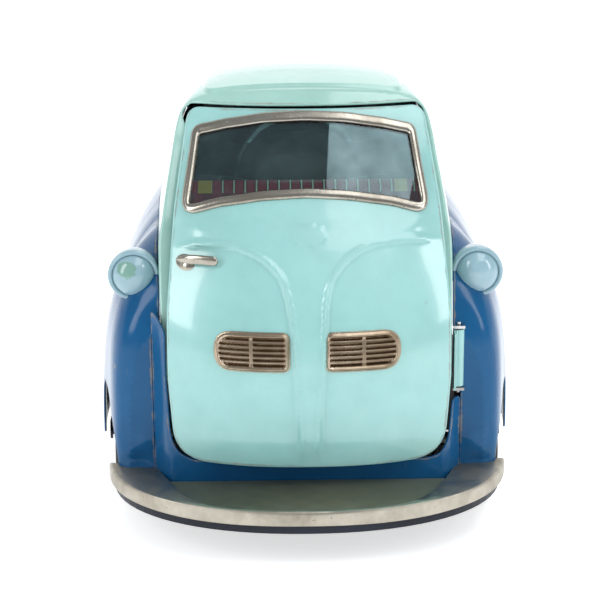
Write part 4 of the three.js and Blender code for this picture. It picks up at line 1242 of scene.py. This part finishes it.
def build_lamps():
    bowl = soft_profile([
        (0.01, 9.5), (2.2, 8.6), (4.1, 5.6), (5.2, 1.6), (5.5, -0.8), (5.5, -1.9), (4.85, -1.9), (4.7, 1.4),
        (3.6, 5), (1.8, 7.6), (0.01, 8.4),
    ], 0.8, 6)
    ring = [(5.0 + 0.5 * math.cos(a), -2.15 + 0.42 * math.sin(a)) for a in np.linspace(0, 2 * math.pi, 17)]
    dome = [(4.62 * math.sin(a), -1.5 - 3.6 * math.cos(a) ** 1.1) for a in np.linspace(0.002, 1.5, 22)]
    dome += [(4.62, -1.2), (0.01, -1.0)]
    for side, name in ((1, "left"), (-1, "right")):
        centre = (side * 36.8, 33, 55.4)
        shell = lathe("lamp_bowl_" + name, "y", bowl, centre)
        finish(shell, "body", "headlamp_shell_" + name, LAMP, GREEN)
        finish(lathe("lamp_rim_" + name, "y", ring, centre), "body", "headlamp_shell_" + name, LAMP)
        paint = LAMP if side > 0 else WORN_LAMP
        finish(lathe("lamp_lens_" + name, "y", dome, centre), "body", "headlamp_lens_" + name, paint)
        tail = soft_profile([(0.01, 6), (1.5, 5.85), (2.5, 5.1), (2.75, 4.1), (2.75, -2)], 0.8, 5)
        bezel = soft_profile([(2.6, 4.2), (3, 4.2), (3, 2.6), (3, -3), (2.5, -3)], 0.2, 4)
        place = (side * 23, 147.4, 38)
        finish(lathe("tail_lens_" + name, "y", tail, place, 48), "body", "tail_lamp_" + name, RED)
        finish(lathe("tail_bezel_" + name, "y", bezel, place, 48), "body", "tail_lamp_" + name, NICKEL)


# ------------------------------------------------------------------ wheels

def tyre_profile():
    """The tyre's section: two side walls and a tread with three grooves."""
    half = TYRE_WIDTH / 2
    wall = [
        (8.3, -half + 0.9), (8.9, -half + 0.5), (10.2, -half + 0.15), (11.4, -half), (12.4, -half + 0.5),
        (12.95, -half + 1.3), (13.15, -half + 2.1),
    ]
    tread = []
    for c in (-1.2, 0, 1.2):
        tread += [(13.18, c - 0.32), (12.75, c - 0.24), (12.75, c + 0.24), (13.18, c + 0.32)]
    return soft_profile([*wall, *tread, *[(r, -t) for r, t in wall[::-1]], wall[0]], 0.3, 3)


def hub_profile(side):
    points = [
        (1.86, -2.6), (7.9, -3.1), (8.25, -2.6), (8.25, 2.9), (7.7, 3.2), (6.9, 2.75), (5.9, 3), (4.4, 3.75),
        (2.6, 4), (1.86, 4), (1.86, -2.6),
    ]
    return soft_profile([(r, side * t) for r, t in points], 0.35, 4)


def build_wheels():
    for end, axle_y in (("front", FRONT_AXLE_Y), ("rear", REAR_AXLE_Y)):
        for side, name in ((1, "left"), (-1, "right")):
            centre = (side * TRACKS[end] / 2, axle_y, WHEEL_RADIUS)
            tyre = lathe(f"tyre_{end}_{name}_rubber", "x", tyre_profile(), centre, 96)
            finish(tyre, end + "_wheels", f"tyre_{end}_{name}", RUBBER)
            disc = lathe(f"hub_{end}_{name}_disc", "x", hub_profile(side), centre, 72)
            finish(disc, end + "_wheels", f"hub_{end}_{name}", NICKEL)


# ------------------------------------------------------------------ seat

def build_seat():
    profile = np.array([(57, 23), (57, 40), (80, 38), (83, 61.5), (87.2, 62), (87.2, 60.5)], float)
    line = soft_profile(profile, 2.2, 8)
    length = np.r_[0, np.cumsum(np.hypot(*np.diff(line, axis=0).T))]

    def place(uv):
        x, s = uv.T
        y = np.interp(s, length, line[:, 0])
        z = np.interp(s, length, line[:, 1])
        roll = 0.35 * np.sin(x * 0.55) ** 2 * smoothstep(18, 24, s) * (1 - smoothstep(52, 58, s))
        return np.column_stack([x, y - roll * 0.6, z + roll * 0.5])

    outline = rounded([(-28, 0, 0.5), (28, 0, 0.5), (28, length[-1], 0.8), (-28, length[-1], 0.8)])
    obj = sheet("seat_pressing", place, [outline], [hem(0.5)], 0.5, SPACING * 1.1)
    finish(obj, "body", "cabin_seat", SELF_LIT_PRINT, GREEN)


build_cabin()
build_skirt()
build_valance()
build_door()
build_front_bumper()
build_rear_bumper()
build_lamps()
build_wheels()
build_seat()

KEPT = {
    NAVY: ["base_plate"],
    GREEN: ["cabin_floor"],
    TURQUOISE: ["door_hinge_leaf"],
    BRASS: ["axle_gear", "idler_pinion", "idler_gear", "flywheel_pinion"],
    IRON: ["flywheel_left", "flywheel_right"],
    STEEL: [
        "axle_bracket_left", "axle_bracket_right", "front_axle", "rear_axle", "door_latch_tab", "hinge_pin",
        "hinge_bracket", "motor_plate_left", "motor_plate_right", "motor_spacer_1", "motor_spacer_2",
        "motor_spacer_3", "idler_shaft", "flywheel_shaft",
    ],
}
for material, names in KEPT.items():
    for name in names:
        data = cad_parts[name].data
        data.materials.clear()
        data.materials.append(material)


# ------------------------------------------------------------------ floor, lights and camera

def build_stage():
    mesh = bpy.data.meshes.new("studio_floor")
    size, rise, bend = 12.0, 1.6, 0.5
    profile = [(-size, 0.0), (0.9, 0.0)]
    for a in np.linspace(0, math.pi / 2, 14):
        profile.append((0.9 + bend * math.sin(a), bend * (1 - math.cos(a))))
    profile.append((0.9 + bend, rise))
    verts = [(x, y, z) for x in (-size, size) for y, z in profile]
    count = len(profile)
    faces = [(i, count + i, count + i + 1, i + 1) for i in range(count - 1)]
    mesh.from_pydata(verts, [], faces)
    mesh.polygons.foreach_set("use_smooth", [True] * len(mesh.polygons))
    floor = bpy.data.objects.new("studio_floor", mesh)
    bpy.context.scene.collection.objects.link(floor)
    material, make, shader, where = new_material("studio_paper")
    plug(shader, {
        "Base Color": fade(make, noise(make, where, 3, 2, 0.5), 0.3, 0.7, 0.84, 0.88),
        "Roughness": 0.9,
        "Emission Color": (1, 1, 1, 1),
        "Emission Strength": 0.6,
    })
    floor.data.materials.append(material)


def area_light(name, location, target, size, power, colour=(1, 1, 1)):
    """A rectangular lamp that points at a target, or straight down without one."""
    data = bpy.data.lights.new(name, "AREA")
    data.shape = "RECTANGLE"
    data.size, data.size_y = size
    data.energy = power
    data.color = colour
    obj = bpy.data.objects.new(name, data)
    obj.location = location
    if target:
        obj.rotation_euler = (Vector(target) - Vector(location)).to_track_quat("-Z", "Y").to_euler()
    bpy.context.scene.collection.objects.link(obj)


def build_lights():
    world = bpy.data.worlds.new("studio_world")
    world.use_nodes = True
    world.node_tree.nodes["Background"].inputs["Color"].default_value = (0.9, 0.95, 1.0, 1)
    world.node_tree.nodes["Background"].inputs["Strength"].default_value = 0.46
    bpy.context.scene.world = world
    area_light("overhead", (0.255, -0.15, 0.72), None, (0.4, 0.8), 2.7, (0.97, 0.99, 1))
    area_light("left_bank", (-0.62, -0.42, 0.42), (0, 0, 0.05), (0.24, 0.6), 2.6)
    area_light("right_bank", (0.66, -0.36, 0.4), (0, 0, 0.05), (0.16, 0.6), 1.8)
    area_light("rear_fill", (-0.1, 0.8, 0.7), (0, 0, 0.05), (0.9, 0.5), 0.35)
    bpy.context.scene.view_settings.view_transform = "Standard"


def build_camera():
    data = bpy.data.cameras.new("camera")
    data.lens = 113.4
    data.sensor_width = 36
    data.shift_x = -0.0080
    data.shift_y = -0.0223
    data.clip_start = 0.01
    data.clip_end = 20
    camera = bpy.data.objects.new("camera", data)
    place = Vector((-0.00588, -0.4380, 0.1743))
    aim = Vector((0, -0.0375, 0.048))
    turn = (aim - place).to_track_quat("-Z", "Y").to_matrix()
    roll = Euler((0, 0, math.radians(-0.40))).to_matrix()
    camera.location = place
    camera.rotation_euler = (turn @ roll).to_euler()
    bpy.context.scene.collection.objects.link(camera)
    bpy.context.scene.camera = camera


build_stage()
build_lights()
build_camera()
